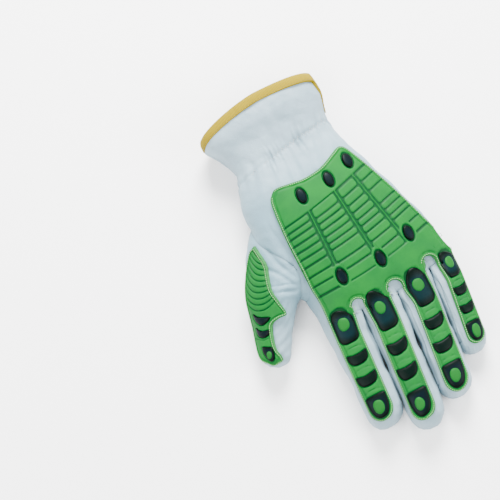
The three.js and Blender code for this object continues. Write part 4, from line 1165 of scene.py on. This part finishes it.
def add_leather():
    points, quads, panels = glove_skin()
    points, quads, panels = cut(points, quads, panels)
    start, end = seam_segments(points, quads, panels)
    away = edge_distance(points, start, end)
    normals = normals_of(points, quads)
    swell = web_swell(points, normals) + shoulder_swell(points, normals)
    points = points + normals * leather_relief(points, away)[:, None]
    points[:, 2] = np.maximum(points[:, 2] + swell, 0)
    normals = normals_of(points, quads)
    for i, name in enumerate(PANELS):
        shell(name + "_look", points, normals, quads[panels == i], wall_of(away),
              [HIDE, SUEDE], replaces=[name], attributes={"seam": away})

    # The thumb runs on under the hand's edge, where it leaves the fillet and dives inwards
    share = np.linspace(0, 1, THUMB_ROWS)
    angle = np.arange(THUMB_COLUMNS) * 2 * math.pi / THUMB_COLUMNS
    raw = thumb_raw(share[:, None] + 0 * angle, angle[None] + 0 * share[:, None])
    outside = joined(raw)
    past = seam_side(outside)
    grid = settle(mix(outside, raw, ease(past / 2.5)[..., None])).reshape(-1, 3)
    first, quads = weld(grid, grid_faces(THUMB_ROWS, THUMB_COLUMNS, wrap=True))
    points, past, depth = grid[first], past.reshape(-1)[first], -hand_gap(raw).reshape(-1)[first]
    quads = quads[(depth[quads] < 7).all(1)]
    straight = (face_normals(points, quads) * face_normals(raw.reshape(-1, 3)[first], quads)).sum(1)
    quads = quads[(straight > .3) & off_the_line(points, quads)]
    away = np.clip(-past, 0, FAR)
    under = .4 * ease(past)
    band, band_quads, band_away, sunk = crotch_band()
    quads = np.concatenate([quads, band_quads + len(points)])
    points, past = np.concatenate([points, band]), np.concatenate([past, 0 * sunk])
    away, under = np.concatenate([away, band_away]), np.concatenate([under, sunk])
    normals = normals_of(points, quads)
    points = points + normals * (leather_relief(points, away) - under)[:, None]
    points[:, 2] = np.maximum(points[:, 2], 0)
    normals = normals_of(points, quads)
    thick = LEATHER * (1 - .7 * ease(past / 3))
    shell("thumb_leather_look", points, normals, quads, thick, [HIDE, SUEDE],
          replaces=["thumb_leather"], attributes={"seam": away})


add_leather()

# Guards

PLATE_ROWS = 160
STRIP_ROWS, STRIP_COLUMNS = 130, 29
NOTCH_COLUMNS = 16
EDGE_SAMPLES = 400
PATTERN_MIDDLE, PATTERN_START, PATTERN_END = 3.2, .03, 1.31
CELL_GAP, CELL_RADIUS, STRING_GAP = .55, 1.7, 1.7
OVAL_MEAN = 4.1
PAD_HOLLOWS = (0, 1.9, 1.9, 0)
PLATE_BORDER, THUMB_BORDER = 2.6, 2.1
CELLS = [
    [.04, .16, .265, .39, .515, .64, .775, .945, 1.11, 1.29],
    [.03, .20, .305, .415, .53, .645, .755, .965, 1.12, 1.31],
    [.05, .21, .36, .485, .61, .72, .84, .99, 1.15, 1.31],
    [.05, .21, .39, .64, .755, .865, .95, 1.12, 1.29],
]


def strip_size(k):
    """Length and half width of a finger's strip."""
    return FINGER["length"][k] * FINGER_LENGTH - FINGER["bare"][k], FINGER["strip"][k] * STRIP_WIDTH / 2


def rounded_box(x, y, low_x, high_x, low_y, high_y, radius):
    """Distance inside a rectangle with round corners, from its edge."""
    half_x, half_y = (high_x - low_x) / 2, (high_y - low_y) / 2
    radius = np.minimum(radius, np.minimum(half_x, half_y))
    dx = np.abs(x - (high_x + low_x) / 2) - half_x + radius
    dy = np.abs(y - (high_y + low_y) / 2) - half_y + radius
    return radius - np.hypot(np.maximum(dx, 0), np.maximum(dy, 0)) - np.minimum(np.maximum(dx, dy), 0)


def pattern_height(x):
    """Millimetres along the hand for one unit of pattern_row: it shrinks towards the thumb."""
    return 42.2 - .113 * (x - PATTERN_MIDDLE)


def pattern_row(x, y):
    """How far over the plate a place is: the cells lie between PATTERN_START and PATTERN_END."""
    bent = x - PATTERN_MIDDLE
    return (y + .0022 * bent ** 2 - 84.2 - .183 * bent) / pattern_height(x)


def plate_relief(x, y):
    """Height of the plate's pattern: 1 on cells, .8 on strings, 0 in the grooves between them."""
    row = pattern_row(x, y)
    fan = 1 + .36 * (y - 75) / 60
    lines = [4.3 * fan ** .6, -16.8 * fan, -33.4 * fan ** 1.06]
    sides = [30 + 0 * x, *lines, -90 + 0 * x]
    tall = pattern_height(x)
    height = np.zeros_like(x)
    for c in range(4):
        rows = CELLS[c]
        high_x = sides[c] - (STRING_GAP if c else 0)
        low_x = sides[c + 1] + (STRING_GAP if c < 3 else 0)
        for i in range(len(rows) - 1):
            inside = rounded_box(x, row * tall, low_x, high_x,
                                 rows[i] * tall + CELL_GAP, rows[i + 1] * tall - CELL_GAP, CELL_RADIUS)
            height = np.maximum(height, ease(inside / .75 + .35))
    for line in lines:
        string = .8 * bell(x - line, .55) * (row > PATTERN_START) * (row < PATTERN_END)
        height = np.maximum(height, string)
    ends = ease((PATTERN_START - row) * tall / .8 + .3) + ease((row - PATTERN_END) * tall / .8 + .3)
    return np.maximum(height, np.minimum(ends, 1))


def oval_distance(x, y):
    """About how far a place is from the nearest oval inlay's edge."""
    away = np.full(x.shape, FAR)
    for middle in OVALS:
        ratio = np.sqrt(((x - middle[0]) / OVAL_HALF[0]) ** 2 + ((y - middle[1]) / OVAL_HALF[1]) ** 2)
        away = np.minimum(away, (ratio - 1) * OVAL_MEAN)
    return away


def strip_pads(k):
    """Size of each pad of a strip as (from, to, half width, straight at the start)."""
    length, half = strip_size(k)
    return [(a * length, b * length, PAD_WIDTH * half, round_ends == "end")
            for a, b, round_ends in STRIP_PADS]


def pad_outline(start, end, half, flat, count=56, hollow=0.0):
    """Outline of a pad as (along, across): a rounded bar, or a flat start with a round end.

    Across is half cos t and along the middle plus a share of sin t, both raised to a power below
    one, so that the outline is a soft box; a hollow start is drawn in by hollow times a half sine.
    """
    t = np.linspace(0, 2 * math.pi, count, endpoint=False)
    far = np.sin(t) > 0
    run = end - start
    if flat:
        wide = np.where(far, np.cos(t), signed_power(np.cos(t), .25))
        deep = np.where(far, np.sin(t), -np.abs(np.sin(t)) ** .25)
        base = start + .28 * run
        place = np.where(far, base + deep * .72 * run, base + deep * .28 * run)
        place = place + np.where(far, 0, hollow * (1 - (wide * wide)) * np.abs(deep))
        return np.stack([place, half * signed_power(wide, .82)], 1)
    cap = min(half, run / 2)
    wide, high = boxy(t, .8)
    straight = np.sign(high) * (run / 2 - cap) * ease(np.abs(high) * 4)
    return np.stack([(start + end) / 2 + high * cap + straight, half * wide], 1)


def outline_distance(along, across, outline):
    """Signed distance to a closed outline, below zero inside it."""
    p = np.stack([along, across], -1).reshape(-1, 2)
    near = (p > outline.min(0) - 4).all(1) & (p < outline.max(0) + 4).all(1)
    out = np.full(len(p), 4.0)
    a, b = outline, np.roll(outline, -1, axis=0)
    d = p[near][:, None] - a[None]
    ab = (b - a)[None]
    t = np.clip((d * ab).sum(-1) / np.maximum((ab * ab).sum(-1), 1e-9), 0, 1)
    gap = np.sqrt(((d - t[..., None] * ab) ** 2).sum(-1)).min(1)
    y, x = p[near][:, 1][:, None], p[near][:, 0][:, None]
    crosses = (a[None, :, 1] > y) != (b[None, :, 1] > y)
    rise = np.where(np.abs(b[:, 1] - a[:, 1]) < 1e-12, 1e-12, b[:, 1] - a[:, 1])
    side = x < (b[:, 0] - a[:, 0]) * (y - a[:, 1]) / rise + a[:, 0]
    inside = (crosses & side).sum(1) % 2 == 1
    out[near] = np.where(inside, -gap, gap)
    return out.reshape(along.shape)


def recess(away):
    """0 in a pad's recess and 1 outside it, from the distance to the pad's outline."""
    return ease((away - .25) / .5)


def strip_relief(k, along, across):
    """Height of a strip's pattern: recesses for the pads, crescents and grooves between them."""
    height = np.ones_like(along)
    for number, (start, end, wide, flat) in enumerate(strip_pads(k)):
        outline = pad_outline(start, end, wide, flat, hollow=PAD_HOLLOWS[number])
        away = outline_distance(along, across, outline)
        height = np.minimum(height, recess(away))
        height = np.maximum(height, .999 * bell(away - .9, .4) * (away > .3))
        if number:
            curve_line = start - 1.9 + .06 * (across ** 2 - wide ** 2)
            height -= .55 * bell(along - curve_line, .35) * (np.abs(across) < wide + .4)
    return np.clip(height, 0, 1)


def guard_profile(rim, relief, inner):
    """Guard's height over the leather from the distance to its border: a rounded raised band.

    It climbs along a quarter circle over the first 1.1 mm, dips in a stitch line at BORDER_INSET
    and in a groove at the band's inner side, then carries the relief.
    """
    climb = np.sqrt(np.clip(rim / 1.1, 0, 1) * (2 - np.clip(rim / 1.1, 0, 1)))
    band = GUARD_TOP * (.25 + .75 * climb) - .22 * bell(rim - BORDER_INSET, .35)
    inside = ease((rim - inner) / .5)
    field = GUARD_TOP - .15 - .95 * (1 - relief)
    groove = .75 * bell(rim - inner - .1, .45)
    return mix(band, field, inside) - groove


def add_back_guard():
    corner = {}
    for k in range(4):
        half = strip_size(k)[1]
        corner[k] = [finger_back(k)(np.array([-TONGUE]), np.array([side * half]))[0] for side in (1, -1)]
    across = {k: np.linspace(1, -1, STRIP_COLUMNS) * strip_size(k)[1] for k in range(4)}
    top, fixed = [], []
    for k in range(4):
        row = finger_back(k)(np.full(STRIP_COLUMNS, -TONGUE), across[k])
        top.append(row[:, :2])
        fixed.append(row)
        if k < 3:
            near, far = corner[k][1], corner[k + 1][0]
            phi = np.linspace(0, math.pi, NOTCH_COLUMNS + 2)[1:-1]
            half = (near[0] - far[0]) / 2
            low = CROTCH["along"][k + 1] - WEB_RUN / 2
            ends = mix(near[1], far[1], phi / math.pi)
            y = np.minimum(low + half * (1 - np.sin(phi)), ends)
            top.append(np.stack([(near[0] + far[0]) / 2 + half * np.cos(phi), y], 1))
            fixed.append(None)
    count = [len(t) for t in top]
    top = np.concatenate(top)
    u = np.insert(np.cumsum(np.abs(np.diff(top[:, 0]))), 0, 0)
    u /= u[-1]
    wrist = curve(WRIST_EDGE, u)
    thumb_rows = np.linspace(0, 1, EDGE_SAMPLES)
    thumb = curve(np.concatenate([THUMB_EDGE, [top[0]]]), thumb_rows)
    little = curve(np.concatenate([LITTLE_EDGE, [top[-1]]]), thumb_rows)
    v, w = thumb_rows[:, None, None], u[None, :, None]
    plan = (mix(wrist[None], top[None], v) + mix(thumb[:, None], little[:, None], w)
            - mix(mix(wrist[0], wrist[-1], w), mix(top[0], top[-1], w), v))
    # Each column's places are chosen again so that rows of points run along the pattern's grooves
    rows = pattern_row(plan[..., 0], plan[..., 1])
    step = np.linspace(0, 1, PLATE_ROWS)
    low_step, high_step, high_run = .2, .84, .16
    low_row, high_row = -.04, 1.36
    fixed_row = np.interp(step, [low_step, high_step], [low_row, high_row])
    x, y = np.empty((2, PLATE_ROWS, len(u)))
    for c in range(len(u)):
        first_row, last_row = rows[0, c], rows[-1, c]
        above = np.where(step > high_step, mix(high_row, last_row, (step - high_step) / high_run), fixed_row)
        wanted = np.where(step < low_step, mix(first_row, low_row, step / low_step), above)
        wanted = wanted if first_row < -.1 and last_row > 1.4 else mix(first_row, last_row, step)
        at = np.interp(wanted, np.maximum.accumulate(rows[:, c]), thumb_rows)
        x[:, c] = np.interp(at, thumb_rows, plan[:, c, 0])
        y[:, c] = np.interp(at, thumb_rows, plan[:, c, 1])
    skin = hand_back(x, y)
    start = 0
    for size, row in zip(count, fixed):
        if row is not None:
            skin[-1, start:start + size] = row
        start += size
    points = [skin.reshape(-1, 3)]
    quads = [grid_faces(PLATE_ROWS, len(u))]
    relief = [(plate_relief(x, y)).reshape(-1)]
    ovals = [oval_distance(x, y).reshape(-1)]
    total = x.size
    for k in range(4):
        length, half = strip_size(k)
        turn = np.linspace(0, math.pi / 2, CAP_ROWS)
        along = np.concatenate([np.linspace(-TONGUE, length - half, STRIP_ROWS - CAP_ROWS, endpoint=False),
                                length - half + half * np.sin(turn)])
        reach = np.concatenate([np.full(STRIP_ROWS - CAP_ROWS, half), half * np.cos(turn)])
        a = np.repeat(along[:, None], STRIP_COLUMNS, 1)
        b = reach[:, None] * np.linspace(1, -1, STRIP_COLUMNS)[None]
        surface = finger_back(k)(a, b)
        surface[0] = fixed[2 * k]
        points.append(surface.reshape(-1, 3))
        quads.append(grid_faces(STRIP_ROWS, STRIP_COLUMNS, total))
        relief.append(strip_relief(k, a, b).reshape(-1))
        ovals.append(np.full(a.size, FAR))
        total += a.size
    # The first pads reach back over the plate, so their recess is cut there as well
    points, relief, ovals = np.concatenate(points), np.concatenate(relief), np.concatenate(ovals)
    for k in range(4):
        plate = relief[:x.size].reshape(x.shape)
        start, end, wide, flat = strip_pads(k)[0]
        outline = pad_outline(start, end, wide, flat)
        root = np.stack([finger_back(k)(np.array([a]), np.array([0.0]))[0] for a in (-14.0, -2.0)])
        ahead = unit(root[1, :2] - root[0, :2])
        away_from = np.stack([x, y], -1) - root[1, :2]
        along = (away_from * ahead).sum(-1) - TONGUE
        beside = (away_from * np.array([ahead[1], -ahead[0]])).sum(-1)
        gap = outline_distance(along, beside, outline)
        near = gap < 3.9
        smooth = np.where(near, np.maximum(plate, ease((3.2 - gap) / 1.2)), plate)
        smooth = np.minimum(smooth, recess(gap))
        relief[:x.size] = smooth.reshape(-1)
    first, quads = weld(points, np.concatenate(quads))
    points, relief, ovals = points[first], relief[first], ovals[first]
    back = quads
    normals = normals_of(points, back)
    if normals[:, 2].mean() < 0:
        back = back[:, ::-1]
        normals = -normals
    edge = open_edges(back)
    rim = edge_distance(points, points[edge[:, 0]], points[edge[:, 1]])
    field = relief * ease((ovals - 1.2) / .5) + bell(ovals - 1.5, .45) * .9
    ring = ease((3.2 - ovals) / .8) * ease((ovals - 1.0) / .4)
    field = np.where(ovals < 3.2, np.maximum(field, ring), field)
    field = np.clip(field, 0, 1)
    height = guard_profile(rim, field, PLATE_BORDER)
    height = np.where(ovals < .9, GUARD_TOP - 1.5, height)
    guard_piece("back_guard", "guard_stitches", points, normals, back, edge, height, field, rim)


def edge_loop(edge):
    """Open edges in their order round the piece."""
    following = dict(zip(edge[:, 0].tolist(), edge[:, 1].tolist()))
    start = int(edge[0, 0])
    loop, here = [start], following[start]
    while here != start and here in following:
        loop.append(here)
        here = following[here]
    return np.array(loop)


def inset_line(points, normals, loop, inset, height):
    """A closed line moved inwards over a surface from its border, smoothed, and its normals."""
    line, up = points[loop], normals[loop]
    run = path_length(np.concatenate([line, line[:1]]))
    even = np.arange(0, run[-1], .5)
    line = np.stack([np.interp(even, run, np.append(line[:, i], line[0, i])) for i in range(3)], 1)
    up = unit(np.stack([np.interp(even, run, np.append(up[:, i], up[0, i])) for i in range(3)], 1))
    ahead = unit(np.roll(line, -2, axis=0) - np.roll(line, 2, axis=0))
    inward = np.cross(up, ahead)
    moved = line + inward * inset
    gap = edge_distance(moved, line, np.roll(line, -1, axis=0))
    keep = gap > inset - .25
    moved = moved + up * height
    return moved[keep], up[keep]


def guard_piece(name, stitches, points, normals, quads, edge, height, relief, rim):
    """A guard between its relief and its underside, and the stitches in its border's dip."""
    layers = [points + normals * height[:, None], points + normals * GUARD_LIFT]
    build(name + "_look", np.concatenate(layers),
          two_layers(quads, edge, len(points)), [RUBBER], replaces=[name], slot="guard", sharp=60,
          attributes={"relief": np.tile(relief, 2), "rim": np.tile(rim, 2)})
    line, up = inset_line(points, normals, edge_loop(edge), BORDER_INSET, GUARD_TOP - .1)
    threads(stitches, line, up, *GUARD_STITCH, GREEN_THREAD, slot="guard")


add_back_guard()


def pad_rings(top, low=.9):
    """Rings of a pad: a slightly crowned top with a rounded shoulder, down into its recess."""
    return [(0, top + .28), (.3, top + .26), (.6, top + .18), (.8, top + .06), (.92, top - .12),
            (.98, top - .38), (1, top - .75), (1, low + .3), (.97, low), (.5, low), (0, low)]


PAD_TOP = GUARD_TOP + .45
BUTTON_TOP = PAD_TOP + 1.0
BUTTON_NARROWING = .8


def button_rings(top):
    return [(0, top + .05), (.35, top + .03), (.62, top - .05), (.8, top - .2), (.93, top - .5),
            (1, top - .85), (1, top - 1.3), (.97, top - 1.5), (.5, top - 1.5), (0, top - 1.5)]


def oval(along, across, half_along, half_across, count, power=1):
    """Outline of an oval as (along, across), boxier with a power below one."""
    wide, high = boxy(np.linspace(0, 2 * math.pi, count, endpoint=False), power)
    return np.stack([along + half_along * high, across + half_across * wide], 1)


def add_finger_pads():
    for k, finger in enumerate(FINGERS):
        surface = finger_back(k)
        pads = strip_pads(k)
        for i, (start, end, wide, flat) in enumerate(pads):
            outline = pad_outline(start, end, wide, flat, hollow=PAD_HOLLOWS[i])
            rubber = [PALE_PAD, GREEN_PAD, GREEN_PAD, PAD][i]
            dome(f"{finger}_pad_{i + 1}_look", surface, outline, pad_rings(PAD_TOP), [rubber],
                 replaces=[f"{finger}_pad_{i + 1}"], slot="inlay")
        wide = FINGER["strip"][k] * BUTTON_SIZE[1] / 2 * BUTTON_NARROWING
        for part, middle in (("base", BASE_BUTTON), ("tip", mix(pads[3][0], pads[3][1], TIP_BUTTON))):
            outline = oval(middle, 0, BUTTON_SIZE[0] / 2, wide, 44, .95)
            dome(f"{finger}_button_{part}_look", surface, outline, button_rings(BUTTON_TOP), [BUTTON],
                 replaces=[f"{finger}_button_{part}"], slot="guard")


def add_ovals():
    for i, middle in enumerate(OVALS):
        outline = oval(middle[1], middle[0], OVAL_HALF[1], OVAL_HALF[0], 48)
        dome(f"oval_inlay_{i + 1}_look", lambda y, x: hand_back(x, y), outline,
             pad_rings(GUARD_TOP + .1), [PAD], replaces=[f"oval_inlay_{i + 1}"], slot="inlay")


add_finger_pads()
add_ovals()


def closed_curve(points, count):
    """A smooth closed outline through points, at equal lengths."""
    points = np.asarray(points, float)
    around = np.concatenate([points[-3:], points, points[:3]])
    fine = curve(around, 60 * len(around))
    run = path_length(fine)
    window = 270
    start = run[np.argmin(np.linalg.norm(fine[:window] - points[0], axis=1))]
    rest = len(fine) - window
    end = run[rest + np.argmin(np.linalg.norm(fine[rest:] - points[0], axis=1))]
    at = np.linspace(start, end, count, endpoint=False)
    return np.stack([np.interp(at, run, fine[:, 0]), np.interp(at, run, fine[:, 1])], 1)


THUMB_GUARD_ROWS, THUMB_GUARD_COLUMNS = 210, 64
RIB_START, RIB_END, RIB_PITCH, RIB_COUNT = 22.5, 62.5, 3.75, 10.9
VEE_AT, VEE_MIDDLE = 81.5, -1.8
THUMB_BUTTON = (91.3, -4.7, 2.2, 1.6)
THUMB_SHAPES = [
    [(63.3, 3.4), (65.6, .6), (66.6, -2.6), (67.0, -6.6), (69.2, -5.2),
     (71.4, -1.7), (68.8, 1.4), (65.6, 3.2)],
    [(72.6, 2.6), (74.9, .4), (75.6, -2.4), (75.2, -6.0), (78.0, -5.2),
     (79.8, -2.0), (78.4, 1.0), (75.2, 2.6)],
    [(86.0, -.4), (86.4, -3.4), (87.0, -6.6), (90.4, -7.4), (93.8, -7.4),
     (94.8, -5.0), (93.4, -3.0), (89.8, -.8)],
]


def thumb_relief(along, across, outlines):
    """Height of the thumb guard's pattern: curved ribs, the pads' recesses, a raised V between."""
    bow = along + .075 * (across + 2) ** 2
    phase = (bow - RIB_START) / RIB_PITCH
    ribs = (bow > RIB_START) & (along < RIB_END) & (phase < RIB_COUNT)
    groove = bell((phase - np.floor(phase) - .5) * RIB_PITCH, .52)
    height = np.where(ribs, 1 - .9 * groove, 1.0)
    for outline in outlines:
        away = outline_distance(along, across, outline)
        height = np.minimum(height, ease((away - .15) / .45))
    beside = np.abs(across - VEE_MIDDLE)
    vee = along - VEE_AT + .35 * beside
    height = height - .6 * bell(vee, .4) * (beside < 6)
    return np.clip(height, 0, 1)


def add_thumb_guard():
    rows, cols = THUMB_GUARD_ROWS, THUMB_GUARD_COLUMNS
    at = np.linspace(THUMB_GUARD["at"][0], THUMB_GUARD["at"][-1], rows)
    section = between(THUMB_GUARD, at)
    start = np.sqrt(np.clip((at - at[0]) / .03, 0, 1))
    end = np.sqrt(np.clip((at[-1] - at) / .025, 0, 1))
    low, high = -section["inner"] * THUMB_GUARD_WIDTH, section["outer"] * THUMB_GUARD_WIDTH
    middle = (low + high) / 2
    low, high = [middle + (side - middle) * np.minimum(start, 1) * mix(.35, 1, end) for side in (low, high)]
    share = .5 - .5 * np.cos(np.linspace(0, math.pi, cols)) * .7 + (np.linspace(0, 1, cols) - .5) * .3
    along = np.repeat(at[:, None] * THUMB_LENGTH, cols, 1)
    across = low[:, None] + (high - low)[:, None] * share[None]
    skin = thumb_back(along, across)
    outlines = [closed_curve(points, 60) for points in THUMB_SHAPES]
    relief = thumb_relief(along, across, outlines).reshape(-1)
    first, quads = weld(skin.reshape(-1, 3), grid_faces(rows, cols))
    points, relief = skin.reshape(-1, 3)[first], relief[first]
    normals = normals_of(points, quads)
    middle_point = points[len(points) // 2] - thumb_frame(np.array([.5]))[0][0]
    if (normals[len(points) // 2] * middle_point).sum() < 0:
        quads, normals = quads[:, ::-1], -normals
    edge = open_edges(quads)
    rim = edge_distance(points, points[edge[:, 0]], points[edge[:, 1]])
    height = guard_profile(rim, relief, THUMB_BORDER)
    height = np.where(rim < .02, .25 * GUARD_TOP, height)
    guard_piece("thumb_guard", "thumb_guard_stitches", points, normals, quads, edge, height, relief, rim)
    for i, outline in enumerate(outlines):
        dome(f"thumb_pad_{i + 1}_look", thumb_back, outline, pad_rings(GUARD_TOP + .2), [PAD],
             replaces=[f"thumb_pad_{i + 1}"], slot="inlay")
    outline = oval(*THUMB_BUTTON, 36)
    dome("thumb_button_look", thumb_back, outline, button_rings(GUARD_TOP + 1.1), [BUTTON],
         replaces=["thumb_button"], slot="guard")


add_thumb_guard()


BINDING_COLUMNS = 60
WEAVE_ALONG, WEAVE_ACROSS = .95, .8
BINDING_STITCH_AT, BINDING_STITCH_LIFT = 4.5, 1.3


def add_binding():
    """Tape folded over the hem: a rounded U carried round it, with a row of stitches near its edge."""
    k, q = ring_columns([(f, part, BINDING_COLUMNS) for f, part in RING])
    run = finger_skin(k, np.zeros(q.shape), q)[:, 1] - hem_at(hand_angle(k, q))

    def at(distance):
        return hand_skin(k, q, np.maximum(distance, 0) / run)
    hem, next_row = at(0), at(1.0)
    down = unit(next_row - hem)
    around = np.roll(hem, -1, axis=0) - np.roll(hem, 1, axis=0)
    normals = unit(np.cross(around, down))
    if (normals[BINDING_COLUMNS // 2] * (0, 0, 1)).sum() < 0:
        normals = -normals
    profile = np.array([(5.5, .05), (5.55, .8), (5.35, 1.2), (4.9, 1.32), (4.5, 1.18), (4.1, 1.34),
                        (2.4, 1.42), (.8, 1.38), (-.5, 1.1),
                        (-1.15, .4), (-1.3, -.7), (-1.15, -1.8), (-.5, -2.5),
                        (.8, -2.72), (3.2, -2.72), (5.1, -2.66), (5.5, -2.3), (5.5, -1.45)])
    points, weave, width = [], [], []
    length = path_length(hem)
    fuzz = 1 + .06 * np.sin(length / 3.1) * np.sin(length / 7.7)
    for distance, height in profile:
        base = at(distance) if distance > 0 else hem + down * distance
        points.append(base + normals * (height * fuzz)[:, None])
        weave.append(length / WEAVE_ALONG)
        width.append(np.full(len(hem), distance / WEAVE_ACROSS))
    points = np.stack(points, 1)
    points[..., 2] = np.maximum(points[..., 2], 0)
    rows, cols = points.shape[:2]
    r, c = np.meshgrid(np.arange(rows), np.arange(cols), indexing="ij")
    n, m = (r + 1) % rows, (c + 1) % cols
    quads = np.stack([r * cols + c, n * cols + c, n * cols + m, r * cols + m], -1).reshape(-1, 4)
    flat = points.reshape(-1, 3)
    flip = volume_sign(flat, quads)
    build("cuff_binding_look", flat, [quads[:, ::flip]], [TAPE], replaces=["cuff_binding"], slot="binding",
          sharp=70, attributes={"weave": np.stack(weave, 1).ravel(), "width": np.stack(width, 1).ravel()})
    seam = at(BINDING_STITCH_AT) + normals * BINDING_STITCH_LIFT
    seam[:, 2] = np.maximum(seam[:, 2], .3)
    threads("binding_stitches", seam, normals, *BINDING_STITCH, GOLD_THREAD, slot="binding")


add_binding()


PATCH_STITCH_LIFT = 1.28


def add_thumb_patch():
    """A leaf of leather on the palm at the thumb's root, sewn down with two rows of stitches."""
    outline = closed_curve(PATCH, 120)
    scale = np.concatenate([[0], np.linspace(.1, .96, 14)])
    rings = [(v, 1.25) for v in scale] + [(.985, 1.18), (1, .9), (1, .15), (.98, .1), (.5, .1), (0, .1)]
    dome("thumb_patch_look", hand_front, outline, rings, [HIDE], replaces=["thumb_patch"], slot="leather",
         edge=True)
    middle = (outline.max(0) + outline.min(0)) / 2
    for number, share in enumerate((.93, .83)):
        row = middle + share * (outline - middle)
        line, up = lifted(hand_front, row[:, 0], row[:, 1], np.full(len(row), PATCH_STITCH_LIFT))
        threads(f"patch_stitches_{number + 1}", line, up, *PATCH_STITCH, THREAD)


add_thumb_patch()


ZIGZAG_HEIGHT, ZIGZAG_PITCH = 1.5, 3.4


def add_wrist_stitches():
    """The zigzag that gathers the wrist over its elastic, on the back."""
    x = np.linspace(27, -40, 700)
    wave = ZIGZAG_HEIGHT * (2 / math.pi) * np.arcsin(np.sin(2 * math.pi * x / ZIGZAG_PITCH))
    y = WRIST_AT + WRIST_SLANT * x + wave
    line, up = lifted(lambda b, a: hand_back(a, b), y, x, np.full(len(x), -.35))
    threads("wrist_stitches", line, up, *WRIST_STITCH, THREAD, closed=False)


add_wrist_stitches()


# Floor, light and camera

def pale_floor():
    """A plain pale floor, large and flat, a little below the glove."""
    count, half, drop = 41, 3, .0004
    u, v = np.meshgrid(np.linspace(-1, 1, count), np.linspace(-1, 1, count), indexing="ij")
    points = np.stack([u * half, v * half, 0 * u - drop], -1).reshape(-1, 3)
    mesh = bpy.data.meshes.new("floor")
    mesh.from_pydata(points.tolist(), [], grid_faces(count, count).tolist())
    material, tree, shader = tree_of("pale_floor")
    coords = node(tree, "ShaderNodeTexCoord").outputs["Object"]
    soft = placed(tree, MOTTLE, Position=coords, Scale=3.0, Low=.2, High=.8)
    pale = blend(tree, soft, (.955, .955, .955, 1), (.99, .99, .99, 1))
    tree.links.new(pale, shader.inputs["Base Color"])
    shader.inputs["Roughness"].default_value = .9
    mesh.materials.append(material)
    floor = bpy.data.objects.new("floor", mesh)
    bpy.context.scene.collection.objects.link(floor)


pale_floor()


def area_light(name, place, target, size, power):
    data = bpy.data.lights.new(name, "AREA")
    data.energy, data.size = power, size
    light = bpy.data.objects.new(name, data)
    light.location = place
    light.rotation_euler = (Vector(target) - Vector(place)).to_track_quat("-Z", "Y").to_euler()
    bpy.context.scene.collection.objects.link(light)


AIM = (0.01, 0.02, 0.0)
ROOM_LIGHT = 1.06
for name, place, size, power in (("key", (-.35, -.85, .8), .6, 80), ("fill", (.75, .3, .9), 1.0, 27),
                                 ("rim", (-.8, .5, .7), .8, 19)):
    area_light(name, place, AIM, size, power)
world = bpy.data.worlds.new("soft_room")
world.use_nodes = True
world.node_tree.nodes["Background"].inputs["Color"].default_value = (1, 1, 1, 1)
world.node_tree.nodes["Background"].inputs["Strength"].default_value = ROOM_LIGHT
bpy.context.scene.world = world

# The camera stands where the photograph's stood: nearly overhead, tilted from the fingertips' side
TARGET = Vector((.0487, -.0153, .012))
BEARING = Vector((.463, .886, 0))
ELEVATION = math.radians(78)
DISTANCE = 1.5
PICTURE = .340
SENSOR = 36
camera_data = bpy.data.cameras.new("camera")
camera_data.sensor_width = SENSOR
camera_data.lens = SENSOR * DISTANCE / PICTURE
camera = bpy.data.objects.new("camera", camera_data)
offset = BEARING * math.cos(ELEVATION) + Vector((0, 0, math.sin(ELEVATION)))
camera.location = TARGET + offset * DISTANCE
bpy.context.scene.collection.objects.link(camera)
bpy.context.scene.camera = camera
back = offset.normalized()
right = (-BEARING).cross(back).normalized()
true_up = back.cross(right)
turned = Matrix((right, true_up, back)).transposed().to_4x4()
camera.matrix_world = Matrix.Translation(camera.location) @ turned
